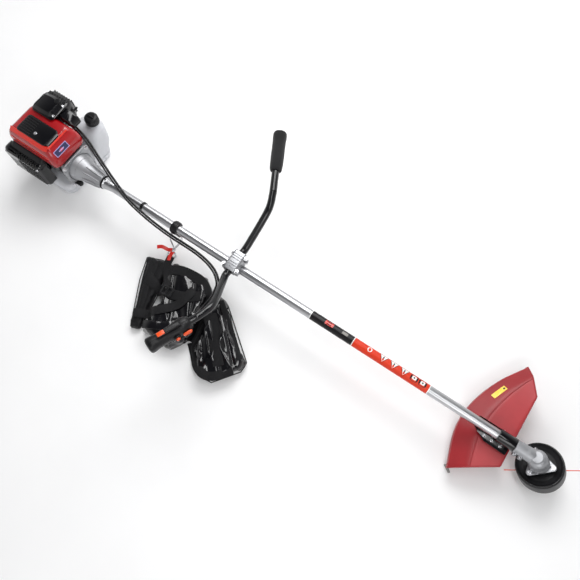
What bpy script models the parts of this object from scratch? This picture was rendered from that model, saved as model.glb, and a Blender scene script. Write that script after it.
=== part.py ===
"""Straight-shaft petrol brush cutter, lying on its fuel tank and trimmer head. Metres, +Z up.

The model is laid out from two empties. "machine_origin" sits on the shaft's axis at the front end of
the clutch housing: +X runs along the shaft towards the trimmer head and +Y is the operator's left.
"spindle_origin" sits where the shaft's axis meets the spindle's, with its -Z down the spindle.
"""

import math

import bmesh
import bpy
from mathutils import Matrix, Vector

# Driving dimensions
SHAFT_HEIGHT = 0.1120
ORIGIN_X = -0.61626
ORIGIN_Y = -0.01926
TUBE_RADIUS = 0.0130
TUBE_BORE = 0.0115
ROD_RADIUS = 0.0040
GEAR_X = 1.4256
SPINDLE_TILT = math.radians(30.0)
SUSPENSION_X = 0.272
HANDLE_X = 0.488
HANDLE_Z = 0.030
BAR_RADIUS = 0.0105
HEAD_RADIUS = 0.060
LINE_REACH = 0.092
LINE_TURN = math.radians(29.0)
CRANK_RADIUS = 0.0050
GAP = 0.0004
MERGE = 0.00002

# Stations along the shaft's axis, from the clutch housing's front end
HOUSING_BACK = -0.1014
FLANGE_BACK = -0.1114
CRANKCASE_FRONT = -0.1430
CRANKCASE_BACK = -0.2000
ENGINE_BACK = -0.2900
CYLINDER_X = -0.1665
BUSH_X = 0.6200

COLOURS = {
    "steel": ((0.62, 0.62, 0.64), 0.30, 1.0),
    "aluminium": ((0.72, 0.73, 0.75), 0.35, 1.0),
    "cast_aluminium": ((0.58, 0.59, 0.61), 0.50, 1.0),
    "black_plastic": ((0.025, 0.025, 0.028), 0.35, 0.0),
    "rubber": ((0.03, 0.03, 0.03), 0.75, 0.0),
    "black_paint": ((0.02, 0.02, 0.022), 0.25, 0.0),
    "red_plastic": ((0.62, 0.03, 0.025), 0.28, 0.0),
    "orange_plastic": ((0.95, 0.16, 0.04), 0.40, 0.0),
    "tank_plastic": ((0.75, 0.76, 0.78), 0.45, 0.0),
    "harness_cloth": ((0.02, 0.02, 0.022), 0.55, 0.0),
    "line_nylon": ((0.85, 0.25, 0.20), 0.45, 0.0),
}


def clear_scene():
    for obj in list(bpy.data.objects):
        bpy.data.objects.remove(obj, do_unlink=True)


def new_collection(name):
    collection = bpy.data.collections.new(name)
    bpy.context.scene.collection.children.link(collection)
    return collection


clear_scene()
PARTS = new_collection("brush_cutter")
CUTTERS = new_collection("cutters")
CUTTERS.hide_render = True


def new_empty(name, matrix, parent=None):
    empty = bpy.data.objects.new(name, None)
    PARTS.objects.link(empty)
    empty.parent = parent
    empty.matrix_local = matrix
    return empty


MACHINE = new_empty("machine_origin", Matrix.Translation((ORIGIN_X, ORIGIN_Y, SHAFT_HEIGHT)))
SPINDLE = new_empty(
    "spindle_origin",
    Matrix.Translation((GEAR_X, 0, 0)) @ Matrix.Rotation(-SPINDLE_TILT, 4, "Y"),
    MACHINE,
)


def material(name, slot):
    colour, roughness, metallic = COLOURS[slot]
    made = bpy.data.materials.new(name)
    made.use_nodes = True
    shader = made.node_tree.nodes["Principled BSDF"]
    shader.inputs["Base Color"].default_value = (*colour, 1.0)
    shader.inputs["Roughness"].default_value = roughness
    shader.inputs["Metallic"].default_value = metallic
    return made


def place(obj, slot, matrix=Matrix(), parent=None):
    """Puts a new object in the parts' collection, in its parent's frame, with its own material."""
    PARTS.objects.link(obj)
    obj.parent = parent or MACHINE
    obj.matrix_local = matrix
    obj.data.materials.append(material(obj.name, slot))
    return obj


def facing(axis, centre=(0, 0, 0)):
    """The matrix that stands local +Z along an axis, at a centre."""
    turn = Vector(axis).to_track_quat("Z", "Y").to_matrix().to_4x4()
    return Matrix.Translation(centre) @ turn


def along_shaft(x=0.0):
    """Local Z along the shaft, local X sideways (+Y of the machine), local Y up."""
    axes = Matrix(((0, 0, 1, 0), (1, 0, 0, 0), (0, 1, 0, 0), (0, 0, 0, 1)))
    return Matrix.Translation((x, 0, 0)) @ axes


def mesh_object(name, bm):
    mesh = bpy.data.meshes.new(name)
    bm.to_mesh(mesh)
    bm.free()
    return bpy.data.objects.new(name, mesh)


def bevelled(obj, width, segments=2):
    bevel = obj.modifiers.new("Bevel", "BEVEL")
    bevel.width = width
    bevel.segments = segments
    bevel.limit_method = "ANGLE"
    bevel.angle_limit = math.radians(35)
    return obj


def turned_mesh(name, profile, steps):
    """A profile of (radius, height) points turned about Z. One that touches the axis at both ends is
    solid; any other is closed on itself and makes a ring."""
    solid = profile[0][0] == 0 and profile[-1][0] == 0
    ends = profile + [profile[0]]
    area = sum(a[0] * b[1] - b[0] * a[1] for a, b in zip(ends, ends[1:]))
    points = profile if area < 0 else profile[::-1]
    bm = bmesh.new()
    verts = [bm.verts.new((r, 0, h)) for r, h in points]
    pairs = list(zip(verts, verts[1:]))
    if not solid:
        pairs.append((verts[-1], verts[0]))
    for first, second in pairs:
        bm.edges.new((first, second))
    obj = mesh_object(name, bm)
    screw = obj.modifiers.new("Screw", "SCREW")
    screw.axis = "Z"
    screw.steps = steps
    screw.render_steps = steps
    screw.use_merge_vertices = True
    screw.merge_threshold = MERGE
    screw.use_smooth_shade = True
    return obj


def turned(name, slot, profile, matrix, parent=None, steps=24):
    return place(turned_mesh(name, profile, steps), slot, matrix, parent)


def ring_profile(inner, outer, low, high):
    return [(inner, low), (outer, low), (outer, high), (inner, high)]


def disc_profile(radius, low, high):
    return [(0, high), (radius, high), (radius, low), (0, low)]


def box(name, slot, size, centre, turn=None, edge=0.0, parent=None):
    bm = bmesh.new()
    bmesh.ops.create_cube(bm, size=1.0)
    bmesh.ops.scale(bm, vec=size, verts=bm.verts)
    matrix = Matrix.Translation(centre) @ (turn or Matrix())
    obj = place(mesh_object(name, bm), slot, matrix, parent)
    return bevelled(obj, edge) if edge else obj


def outline_curve(name, outlines, thickness):
    """A filled 2D curve from closed outlines (holes are outlines inside the first), made thick."""
    curve = bpy.data.curves.new(name, "CURVE")
    curve.dimensions = "2D"
    curve.fill_mode = "BOTH"
    curve.extrude = thickness / 2
    for outline in outlines:
        spline = curve.splines.new("POLY")
        spline.points.add(len(outline) - 1)
        for point, (x, y) in zip(spline.points, outline):
            point.co = (x, y, 0, 1)
        spline.use_cyclic_u = True
    return bpy.data.objects.new(name, curve)


def as_mesh(obj):
    """The object's evaluated shape as a welded mesh object in the same place; the source is removed."""
    bpy.context.view_layer.update()
    evaluated = obj.evaluated_get(bpy.context.evaluated_depsgraph_get())
    mesh = bpy.data.meshes.new_from_object(evaluated)
    bm = bmesh.new()
    bm.from_mesh(mesh)
    bmesh.ops.remove_doubles(bm, verts=bm.verts, dist=MERGE)
    bm.to_mesh(mesh)
    bm.free()
    name, parent, matrix = obj.name, obj.parent, obj.matrix_local.copy()
    bpy.data.objects.remove(obj, do_unlink=True)
    made = bpy.data.objects.new(name, mesh)
    mesh.name = name
    PARTS.objects.link(made)
    made.parent = parent
    made.matrix_local = matrix
    return made


def plate(name, slot, outlines, thickness, matrix, parent=None, edge=0.0):
    """A flat piece with its outline in its own XY plane, centred on that plane."""
    obj = place(outline_curve(name, outlines, thickness), slot, matrix, parent)
    if not edge:
        return obj
    return bevelled(as_mesh(obj), edge, 1)


def tube(name, slot, points, radius, parent=None, resolution=2, matrix=Matrix()):
    """A round bar through the points."""
    curve = bpy.data.curves.new(name, "CURVE")
    curve.dimensions = "3D"
    curve.bevel_depth = radius
    curve.bevel_resolution = resolution
    curve.use_fill_caps = True
    spline = curve.splines.new("POLY")
    spline.points.add(len(points) - 1)
    for point, position in zip(spline.points, points):
        point.co = (*position, 1)
    return place(bpy.data.objects.new(name, curve), slot, matrix, parent)


def smooth_route(points, per_span=4):
    """A Catmull-Rom curve through the points, sampled evenly in each span."""
    knots = [Vector(p) for p in points]
    padded = [2 * knots[0] - knots[1], *knots, 2 * knots[-1] - knots[-2]]
    route = []
    for a, b, c, d in zip(padded, padded[1:], padded[2:], padded[3:]):
        for step in range(per_span):
            t = step / per_span
            route.append(
                0.5 * (2 * b + (c - a) * t + (2 * a - 5 * b + 4 * c - d) * t**2)
                + 0.5 * (3 * b - a - 3 * c + d) * t**3
            )
    route.append(knots[-1])
    return route


def arc(radius, start, end, steps, centre=(0, 0)):
    """Points on an arc, angles in degrees, both ends included."""
    points = []
    for step in range(steps + 1):
        angle = math.radians(start + (end - start) * step / steps)
        points.append((centre[0] + radius * math.cos(angle), centre[1] + radius * math.sin(angle)))
    return points


def circle(radius, steps=20, centre=(0, 0)):
    return arc(radius, 0, 360 - 360 / steps, steps - 1, centre)


def rounded_rectangle(low, high, radius, steps=3):
    """Corner-rounded rectangle between two (x, y) corners, anticlockwise."""
    corners = (
        (high[0] - radius, high[1] - radius, 0),
        (low[0] + radius, high[1] - radius, 90),
        (low[0] + radius, low[1] + radius, 180),
        (high[0] - radius, low[1] + radius, 270),
    )
    points = []
    for x, y, start in corners:
        points += arc(radius, start, start + 90, steps, (x, y))
    return points


def turn_outwards(bm):
    """Makes the faces of a body, closed or with an open end, point away from its middle."""
    bmesh.ops.recalc_face_normals(bm, faces=bm.faces)
    middle = sum((v.co for v in bm.verts), Vector()) / len(bm.verts)
    outwards = sum(f.normal.dot(f.calc_center_median() - middle) * f.calc_area() for f in bm.faces)
    if outwards < 0:
        bmesh.ops.reverse_faces(bm, faces=bm.faces)


def loft_mesh(name, rings, close_low=True, close_high=True):
    """Rings of equal point count joined in order, each a list of (x, y, z)."""
    bm = bmesh.new()
    rows = [[bm.verts.new(point) for point in ring] for ring in rings]
    count = len(rows[0])
    for low, high in zip(rows, rows[1:]):
        for i in range(count):
            j = (i + 1) % count
            bm.faces.new((low[i], low[j], high[j], high[i]))
    if close_low:
        bm.faces.new(rows[0][::-1])
    if close_high:
        bm.faces.new(rows[-1])
    turn_outwards(bm)
    return mesh_object(name, bm)


def lofted(name, slot, rings, matrix=Matrix(), parent=None, close_low=True, close_high=True):
    return place(loft_mesh(name, rings, close_low, close_high), slot, matrix, parent)


def level(outline, z):
    return [(x, y, z) for x, y in outline]


def shell(obj, thickness):
    """Gives an open surface its wall, inwards."""
    solidify = obj.modifiers.new("Solidify", "SOLIDIFY")
    solidify.thickness = thickness
    solidify.offset = -1
    solidify.use_even_offset = True
    return obj


def cut(obj, name, cutter, matrix, parent=None, operation="DIFFERENCE"):
    """Cuts a mesh object with a new one, which is kept as a wire cutter, or joins the two."""
    cutter.name = name
    CUTTERS.objects.link(cutter)
    cutter.parent = parent or MACHINE
    cutter.matrix_local = matrix
    cutter.hide_render = True
    cutter.display_type = "WIRE"
    boolean = obj.modifiers.new(name, "BOOLEAN")
    boolean.operation = operation
    boolean.object = cutter
    boolean.solver = "EXACT"
    return obj


def block(size):
    bm = bmesh.new()
    bmesh.ops.create_cube(bm, size=1.0)
    bmesh.ops.scale(bm, vec=size, verts=bm.verts)
    return mesh_object("block", bm)


# Shaft


def make_shaft():
    tube_back, tube_front = -0.0500, 1.3940
    turned(
        "shaft_tube", "aluminium",
        ring_profile(TUBE_BORE, TUBE_RADIUS, tube_back, tube_front), along_shaft(),
    )
    turned(
        "tube_bush", "rubber",
        ring_profile(ROD_RADIUS + GAP, TUBE_BORE - GAP, -0.012, 0.012), along_shaft(BUSH_X), steps=16,
    )
    turned("drive_shaft", "steel", disc_profile(ROD_RADIUS, -0.0805, 1.3985), along_shaft(), steps=12)
    turned(
        "damper_ring", "rubber",
        [(0.0134, 0.0006), (0.0205, 0.0006), (0.0215, 0.0025), (0.0205, 0.0055), (0.0134, 0.0055)],
        along_shaft(),
    )


# Engine


def make_clutch():
    outer = [
        (0.0215, -0.0002), (0.0228, -0.0080), (0.0255, -0.0340), (0.0330, -0.0640), (0.0400, -0.0850),
        (0.0440, -0.0965), (0.0440, HOUSING_BACK),
    ]
    inner = [
        (0.0400, HOUSING_BACK), (0.0385, -0.0800), (0.0280, -0.0620), (0.0170, -0.0545),
        (0.0134, -0.0520), (0.0134, -0.0002),
    ]
    turned("clutch_housing", "cast_aluminium", outer + inner, along_shaft(), steps=32)
    drum = [
        (ROD_RADIUS + GAP, -0.0640), (0.0090, -0.0640), (0.0100, -0.0745), (0.0345, -0.0755),
        (0.0355, -0.0770), (0.0355, -0.0980), (0.0332, -0.0980), (0.0332, -0.0780),
        (ROD_RADIUS + GAP, -0.0780),
    ]
    turned("clutch_drum", "steel", drum, along_shaft())
    shoes = []
    for start in (20, 200):
        shoes += arc(0.0322, start, start + 140, 9) + arc(0.0120, start + 150, start + 170, 2)
    plate("clutch_shoes", "steel", [shoes, circle(CRANK_RADIUS + GAP, 14)], 0.012, along_shaft(-0.0910))


def make_crank_train():
    web = 0.0270
    profile = [(0, -0.0835), (CRANK_RADIUS, -0.0835)]
    for front in (-0.1520, -0.1760):
        back = front - 0.0100
        profile += [(CRANK_RADIUS, front), (web, front), (web, back), (CRANK_RADIUS, back)]
    profile += [(CRANK_RADIUS, -0.2340), (0, -0.2340)]
    turned("crankshaft", "steel", profile, along_shaft(), steps=20)
    hub = CRANK_RADIUS + GAP
    flywheel = [
        (hub, -0.1160), (0.0120, -0.1160), (0.0140, -0.1240), (0.0380, -0.1250), (0.0400, -0.1280),
        (0.0400, -0.1360), (hub, -0.1360),
    ]
    wheel = turned("flywheel", "cast_aluminium", flywheel, along_shaft(), steps=24)
    wheel_mesh = as_mesh_with_material(wheel)
    blades = 8
    for blade in range(blades):
        turn = Matrix.Rotation(2 * math.pi * blade / blades, 4, "X")
        centre = Matrix.Translation((-0.1215, 0, 0.0290))
        cut(wheel_mesh, f"fan_blade_{blade + 1}", block((0.0090, 0.0022, 0.0170)), turn @ centre,
            operation="UNION")
    pulley = [
        (hub, -0.2120), (0.0200, -0.2120), (0.0240, -0.2140), (0.0240, -0.2160), (0.0190, -0.2185),
        (0.0240, -0.2210), (0.0240, -0.2230), (0.0200, -0.2250), (hub, -0.2250),
    ]
    turned("starter_pulley", "black_plastic", pulley, along_shaft(), steps=20)


def as_mesh_with_material(obj):
    """A mesh copy of a turned object's result, so that other shapes can be joined to it."""
    slots = [slot.material for slot in obj.material_slots]
    made = as_mesh(obj)
    made.data.materials.clear()
    for each in slots:
        made.data.materials.append(each)
    return made


def make_crankcase():
    middle = (HOUSING_BACK - GAP + FLANGE_BACK) / 2
    thickness = HOUSING_BACK - GAP - FLANGE_BACK
    plate(
        "fan_housing", "cast_aluminium",
        [rounded_rectangle((-0.0440, -0.0440), (0.0440, 0.0500), 0.012), circle(0.0400, 28)],
        thickness, along_shaft(middle),
    )
    shroud = arc(0.0470, 180, 360, 14) + arc(0.0430, 360, 180, 14)
    plate("fan_shroud", "cast_aluminium", [shroud], 0.0290, along_shaft(-0.1272))
    length = CRANKCASE_FRONT - CRANKCASE_BACK
    plate(
        "crankcase", "cast_aluminium",
        [rounded_rectangle((-0.0420, -0.0480), (0.0420, 0.0400), 0.010), circle(0.0300, 24)],
        length, along_shaft((CRANKCASE_FRONT + CRANKCASE_BACK) / 2),
    )


def make_cylinder():
    base, top, fins = 0.0406, 0.0960, 6
    pitch = (top - 0.050) / fins
    outer = [(0, top)]
    for fin in range(fins):
        high = top - fin * pitch
        outer += [(0.0330, high), (0.0330, high - 0.0022), (0.0240, high - 0.0030)]
        outer += [(0.0240, high - pitch + 0.0008)]
    profile = outer + [(0.0300, 0.0500), (0.0300, base), (0.0186, base), (0.0186, 0.0850), (0, 0.0850)]
    upright = Matrix.Translation((CYLINDER_X, 0, 0))
    turned("cylinder", "cast_aluminium", profile, upright, steps=18)
    plug = [
        (0, 0.1130), (0.0030, 0.1130), (0.0030, 0.1100), (0.0055, 0.1085), (0.0055, 0.1030),
        (0.0085, 0.1020), (0.0085, top + GAP), (0, top + GAP),
    ]
    turned("spark_plug", "steel", plug, upright, steps=12)


def make_covers():
    """The red engine cover, its black insert, the starter housing behind and the muffler at one side."""
    def ring(low_x, high_x, half_y, radius, z):
        return level(rounded_rectangle((low_x, -half_y), (high_x, half_y), radius, 4), z)

    cover = lofted(
        "top_cover", "red_plastic",
        [
            ring(-0.2880, -0.1010, 0.0600, 0.016, 0.0585),
            ring(-0.2880, -0.1020, 0.0600, 0.016, 0.0780),
            ring(-0.2830, -0.1090, 0.0560, 0.016, 0.0980),
            ring(-0.2700, -0.1230, 0.0490, 0.014, 0.1130),
            ring(-0.2620, -0.1310, 0.0430, 0.012, 0.1200),
        ],
        close_low=False,
    )
    shell(cover, 0.0022)
    box("cover_insert", "black_plastic", (0.1100, 0.0600, 0.0060), (-0.1900, -0.0120, 0.1234), edge=0.002)
    starter = lofted(
        "starter_housing", "black_plastic",
        [
            [(x, y, z) for y, z in rounded_rectangle((-0.0560, -0.0500), (0.0440, 0.0560), radius, 4)]
            for x, radius in ((ENGINE_BACK + 0.0120, 0.018), (CRANKCASE_BACK - 0.0006, 0.012))
        ],
        close_low=False, close_high=False,
    )
    close_back(starter)
    shell(starter, 0.0025)


def close_back(obj):
    """Adds the starter housing's back: a smaller ring behind the first one, closed by a face, and
    leaves its front open. The guide hole for the rope is the middle of that face."""
    bm = bmesh.new()
    bm.from_mesh(obj.data)
    edge = [e for e in bm.edges if e.is_boundary and max(v.co.x for v in e.verts) < ENGINE_BACK + 0.0200]
    made = bmesh.ops.extrude_edge_only(bm, edges=edge)["geom"]
    verts = [v for v in made if isinstance(v, bmesh.types.BMVert)]
    for vert in verts:
        vert.co.x = ENGINE_BACK
        vert.co.y = -0.006 + (vert.co.y + 0.006) * 0.84
        vert.co.z = 0.003 + (vert.co.z - 0.003) * 0.84
    rim = [e for e in made if isinstance(e, bmesh.types.BMEdge)]
    inner = bmesh.ops.extrude_edge_only(bm, edges=rim)["geom"]
    for vert in [v for v in inner if isinstance(v, bmesh.types.BMVert)]:
        offset = Vector((0, vert.co.y, vert.co.z)).normalized() * 0.0060
        vert.co = (ENGINE_BACK, offset.y, offset.z)
    turn_outwards(bm)
    bm.to_mesh(obj.data)
    bm.free()


def make_starter_grip():
    """The T-shaped pull and the straight stretch of its rope that leads in to the pulley."""
    grip = box("starter_grip", "black_plastic", (0.0120, 0.0360, 0.0140), (-0.2980, 0, 0))
    rope = turned_mesh("rope", disc_profile(0.0016, -0.2980, -0.2380), 8)
    cut(grip, "starter_rope", rope, along_shaft(), operation="UNION")


def make_muffler():
    box("muffler", "steel", (0.0640, 0.0260, 0.0600), (-0.2000, -0.0745, 0.0120), edge=0.004)
    outline = rounded_rectangle((-0.2980, -0.0480), (-0.1520, 0.0555), 0.016, 3)
    rings = [[(x, y, z) for x, z in outline] for y in (-0.0612, -0.0860)]
    inner = rounded_rectangle((-0.2890, -0.0400), (-0.1610, 0.0480), 0.016, 3)
    rings.append([(x, -0.0960, z) for x, z in inner])
    guard = lofted("muffler_guard", "black_plastic", rings, close_low=False)
    shell(guard, 0.0022)
    slots = 9
    for slot in range(slots):
        x = -0.2420 + slot * 0.0090
        cut(guard, f"guard_slot_{slot + 1}", block((0.0042, 0.0200, 0.0600)),
            Matrix.Translation((x, -0.0960, -0.0020)))


def make_intake():
    rings = []
    for low, high, y in (
        ((-0.2600, 0.0520), (-0.1760, 0.1240), 0.0760),
        ((-0.2600, 0.0520), (-0.1760, 0.1240), 0.1100),
        ((-0.2500, 0.0600), (-0.1860, 0.1160), 0.1240),
    ):
        rings.append([(x, y, z) for x, z in rounded_rectangle(low, high, 0.012, 3)][::-1])
    cover = lofted("air_filter_cover", "black_plastic", rings, close_low=False)
    shell(cover, 0.0022)
    box("air_filter_base", "black_plastic", (0.0820, 0.0050, 0.0680), (-0.2180, 0.0730, 0.0880), edge=0.001)
    turned(
        "carburettor", "aluminium",
        [(0, 0.0615), (0.0120, 0.0615), (0.0120, 0.0655), (0.0170, 0.0655), (0.0170, 0.0702), (0, 0.0702)],
        facing((0, 1, 0), (-0.2060, 0, 0.0760)), steps=16,
    )
    plate(
        "choke_lever", "black_plastic",
        [arc(0.0060, 40, 320, 8) + [(0.0260, -0.0035), (0.0300, 0), (0.0260, 0.0035)]],
        0.0030, facing((1, 0, 0), (-0.1738, 0.0950, 0.0910)), edge=0.0004,
    )
    turned(
        "primer_bulb", "black_plastic",
        [(0, 0.0100), (0.0045, 0.0092), (0.0080, 0.0060), (0.0090, 0), (0, 0)],
        facing((1, 0, 0), (-0.1754, 0.0950, 0.0660)), steps=14,
    )


def make_tank():
    """A low slab under the engine that rises at the left side to the filler neck."""
    neck = (-0.1500, 0.1340)

    def ring(low, high, radius, z):
        return level(rounded_rectangle(low, high, radius, 4), z)

    def neck_ring(radius, z):
        return level(rounded_rectangle(
            (neck[0] - radius, neck[1] - radius), (neck[0] + radius, neck[1] + radius), radius * 0.999, 4), z)

    tank = lofted(
        "fuel_tank", "tank_plastic",
        [
            ring((-0.2480, -0.0580), (-0.1280, 0.1240), 0.022, -SHAFT_HEIGHT),
            ring((-0.2580, -0.0680), (-0.1180, 0.1340), 0.028, -0.1040),
            ring((-0.2600, -0.0700), (-0.1160, 0.1360), 0.028, -0.0820),
            ring((-0.2560, -0.0640), (-0.1170, 0.1440), 0.024, -0.0620),
            ring((-0.2400, 0.0620), (-0.1170, 0.1500), 0.022, -0.0540),
            ring((-0.2200, 0.0780), (-0.1170, 0.1540), 0.022, -0.0100),
            ring((-0.1850, 0.1020), (-0.1220, 0.1560), 0.020, 0.0120),
            neck_ring(0.0170, 0.0200),
            neck_ring(0.0160, 0.0300),
        ],
        close_high=False,
    )
    shell(tank, 0.0022)
    cap = [
        (0, 0.0520), (0.0120, 0.0520), (0.0200, 0.0490), (0.0210, 0.0460), (0.0210, 0.0260),
        (0.0172, 0.0260), (0.0172, 0.0306), (0, 0.0306),
    ]
    turned("fuel_cap", "black_plastic", cap, Matrix.Translation((*neck, 0)), steps=24)


# Carrying and steering


def ring_clamp_outline(inner, outer, eye_low, tab):
    """A band about the tube with a tab below it, as an outline and its hole. Local Y is up."""
    start = math.degrees(math.asin(tab / outer))
    band = arc(outer, -90 + start, 270 - start, 22)
    return [band + [(-tab, eye_low), (tab, eye_low)], circle(inner, 20)]


# The eye in the suspension clamp's tab, which the snap hook goes through
EYE_RADIUS = 0.0055
EYE_Z = -0.0330


def make_suspension():
    outline = ring_clamp_outline(TUBE_RADIUS + GAP, 0.0185, -0.0440, 0.0090)
    eye = circle(EYE_RADIUS, 12, (0, EYE_Z))
    plate("suspension_clamp", "black_plastic", [*outline, eye], 0.0120, along_shaft(SUSPENSION_X))


def make_handle_clamp():
    base = [(0.0250, 0.0030), (0.0250, 0.0180), (-0.0250, 0.0180), (-0.0250, 0.0030)]
    lower = arc(0.0190, 180 + 12, 360 - 12, 14)
    bottom = base + lower
    plate(
        "handle_clamp_base", "aluminium", [bottom, circle(TUBE_RADIUS + GAP, 20)], 0.0360,
        along_shaft(HANDLE_X),
    )
    saddle = rounded_rectangle((-0.0190, -0.0113), (0.0190, 0.0150), 0.005, 2)
    across = Matrix.Translation((HANDLE_X, 0, HANDLE_Z)) @ Matrix(
        ((1, 0, 0, 0), (0, 0, -1, 0), (0, 1, 0, 0), (0, 0, 0, 1))
    )
    plate(
        "handle_clamp_cap", "aluminium", [saddle, circle(BAR_RADIUS + GAP, 20)], 0.0620, across,
    )


# Where each arm bends, and the way it runs on from there: left 1, right -1, with Y outwards
BEND = {
    1: Vector((HANDLE_X + 0.012, 0.165, HANDLE_Z + 0.085)),
    -1: Vector((HANDLE_X + 0.052, 0.1575, HANDLE_Z + 0.085)),
}
OUTWARDS = {1: Vector((-0.47, 0.88, 0.05)).normalized(), -1: Vector((-0.35, 0.88, 0.05)).normalized()}
BEND_REACH = 0.040
LEFT_GRIP_START = 0.108
THROTTLE_START = 0.064


def on_side(point, side):
    return Vector((point[0], side * point[1], point[2]))


def bar_route(side, reach):
    """The route of one handlebar arm: out of the clamp, up and out, and back to its grip."""
    inner = Vector((HANDLE_X, 0.046, HANDLE_Z))
    bend, outwards = BEND[side], OUTWARDS[side]
    rise = (bend - inner).normalized()
    knots = [
        (HANDLE_X, 0.0005, HANDLE_Z), (HANDLE_X, 0.0140, HANDLE_Z), (HANDLE_X, 0.0340, HANDLE_Z), inner,
        inner + rise * 0.022 + Vector((0, 0.002, -0.002)), bend - rise * BEND_REACH,
        bend + (outwards - rise) * 0.009, bend + outwards * BEND_REACH, bend + outwards * 0.060,
        bend + outwards * reach,
    ]
    return smooth_route([on_side(knot, side) for knot in knots], 3)


def grip_matrix(side, start):
    """Local Z runs out along the straight end of an arm, from the start of its grip; local Y is up
    and local X is ahead."""
    out = on_side(OUTWARDS[side], side)
    up = (Vector((0, 0, 1)) - out * out.z).normalized()
    turn = Matrix((up.cross(out), up, out)).transposed().to_4x4()
    return Matrix.Translation(on_side(BEND[side] + OUTWARDS[side] * start, side)) @ turn


def make_handlebars():
    tube("left_bar", "black_paint", bar_route(1, 0.2220), BAR_RADIUS, resolution=3)
    tube("right_bar", "black_paint", bar_route(-1, 0.1780), BAR_RADIUS, resolution=3)
    bore = BAR_RADIUS + GAP
    grip = [
        (bore, -0.0020), (0.0140, -0.0020), (0.0175, 0.0060), (0.0185, 0.0300), (0.0180, 0.0900),
        (0.0195, 0.1060), (0.0190, 0.1180), (0.0150, 0.1200), (0, 0.1200), (0, 0.1150), (bore, 0.1150),
    ]
    turned("left_grip", "rubber", grip, grip_matrix(1, LEFT_GRIP_START), steps=20)


def side_view(centre):
    """For a flat piece seen from the side of a grip: local X out along the grip and local Y up."""
    axes = Matrix(((0, 0, -1, 0), (0, 1, 0, 0), (1, 0, 0, 0), (0, 0, 0, 1)))
    return Matrix.Translation(centre) @ axes


def make_throttle():
    """The throttle grip on the right arm: its housing, the trigger under it, the safety lever above,
    and the switch and lock button on its side."""
    frame = grip_matrix(-1, THROTTLE_START)
    bore = BAR_RADIUS + GAP
    body = [
        (bore, 0.0000), (0.0150, 0.0000), (0.0205, 0.0080), (0.0215, 0.0240), (0.0190, 0.0450),
        (0.0180, 0.0900), (0.0205, 0.1080), (0.0195, 0.1180), (0.0120, 0.1220), (0, 0.1220),
        (0, 0.1150), (bore, 0.1150),
    ]
    turned("throttle_grip", "black_plastic", body, frame, steps=22)
    trigger = [
        (-0.0040, 0.0000), (0.0180, -0.0060), (0.0420, -0.0140), (0.0640, -0.0120), (0.0600, -0.0020),
        (0.0300, 0.0030), (0.0060, 0.0050), (-0.0040, 0.0040),
    ]
    under = frame @ side_view((0.0, -0.0290, 0.0240))
    plate("throttle_trigger", "black_plastic", [trigger], 0.0120, under, edge=0.001)
    lever = [
        (0, 0), (0.0300, 0.0040), (0.0620, 0.0100), (0.0640, 0.0140), (0.0300, 0.0125), (0.0020, 0.0070),
    ]
    above = frame @ side_view((0.0, 0.0235, 0.0240))
    plate("safety_lever", "black_plastic", [lever], 0.0110, above, edge=0.001)
    switch = box("stop_switch", "orange_plastic", (0.0050, 0.0120, 0.0180), (0, 0, 0), edge=0.001)
    switch.matrix_local = frame @ Matrix.Translation((0.0245, 0.0030, 0.0200))
    turned(
        "lock_button", "orange_plastic",
        [(0, 0.0060), (0.0035, 0.0060), (0.0050, 0.0045), (0.0050, 0), (0, 0)],
        frame @ Matrix.Translation((0.0222, 0.0030, 0.0480)) @ facing((1, 0, 0)), steps=12,
    )


CABLE_ROUTE = (
    (-0.1640, 0.0780, 0.0740), (-0.1450, 0.0750, 0.0720), (-0.0950, 0.0640, 0.0640),
    (-0.0300, 0.0390, 0.0480), (0.0500, 0.0090, 0.0350), (0.1200, -0.0130, 0.0260),
    (0.2000, -0.0240, 0.0150), (0.2720, -0.0262, 0.0020), (0.3750, -0.0280, 0.0040),
    (0.4400, -0.0420, 0.0080), (0.4800, -0.0690, 0.0180), (0.4990, -0.1000, 0.0420),
    (0.5100, -0.1350, 0.0700), (0.5100, -0.1720, 0.0920), (0.4950, -0.1960, 0.1000),
)
CABLE_RADIUS = 0.0034


def make_cable():
    """From the carburettor's side along the shaft, through the suspension clamp's side, and up the
    right arm to the front of the throttle grip."""
    end = on_side(BEND[-1] + OUTWARDS[-1] * (THROTTLE_START - 0.0040), -1) - Vector((0, 0, 0.0155))
    tube("throttle_cable", "rubber", smooth_route([*CABLE_ROUTE, end], 4), CABLE_RADIUS, resolution=2)


# Cutting end


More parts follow.
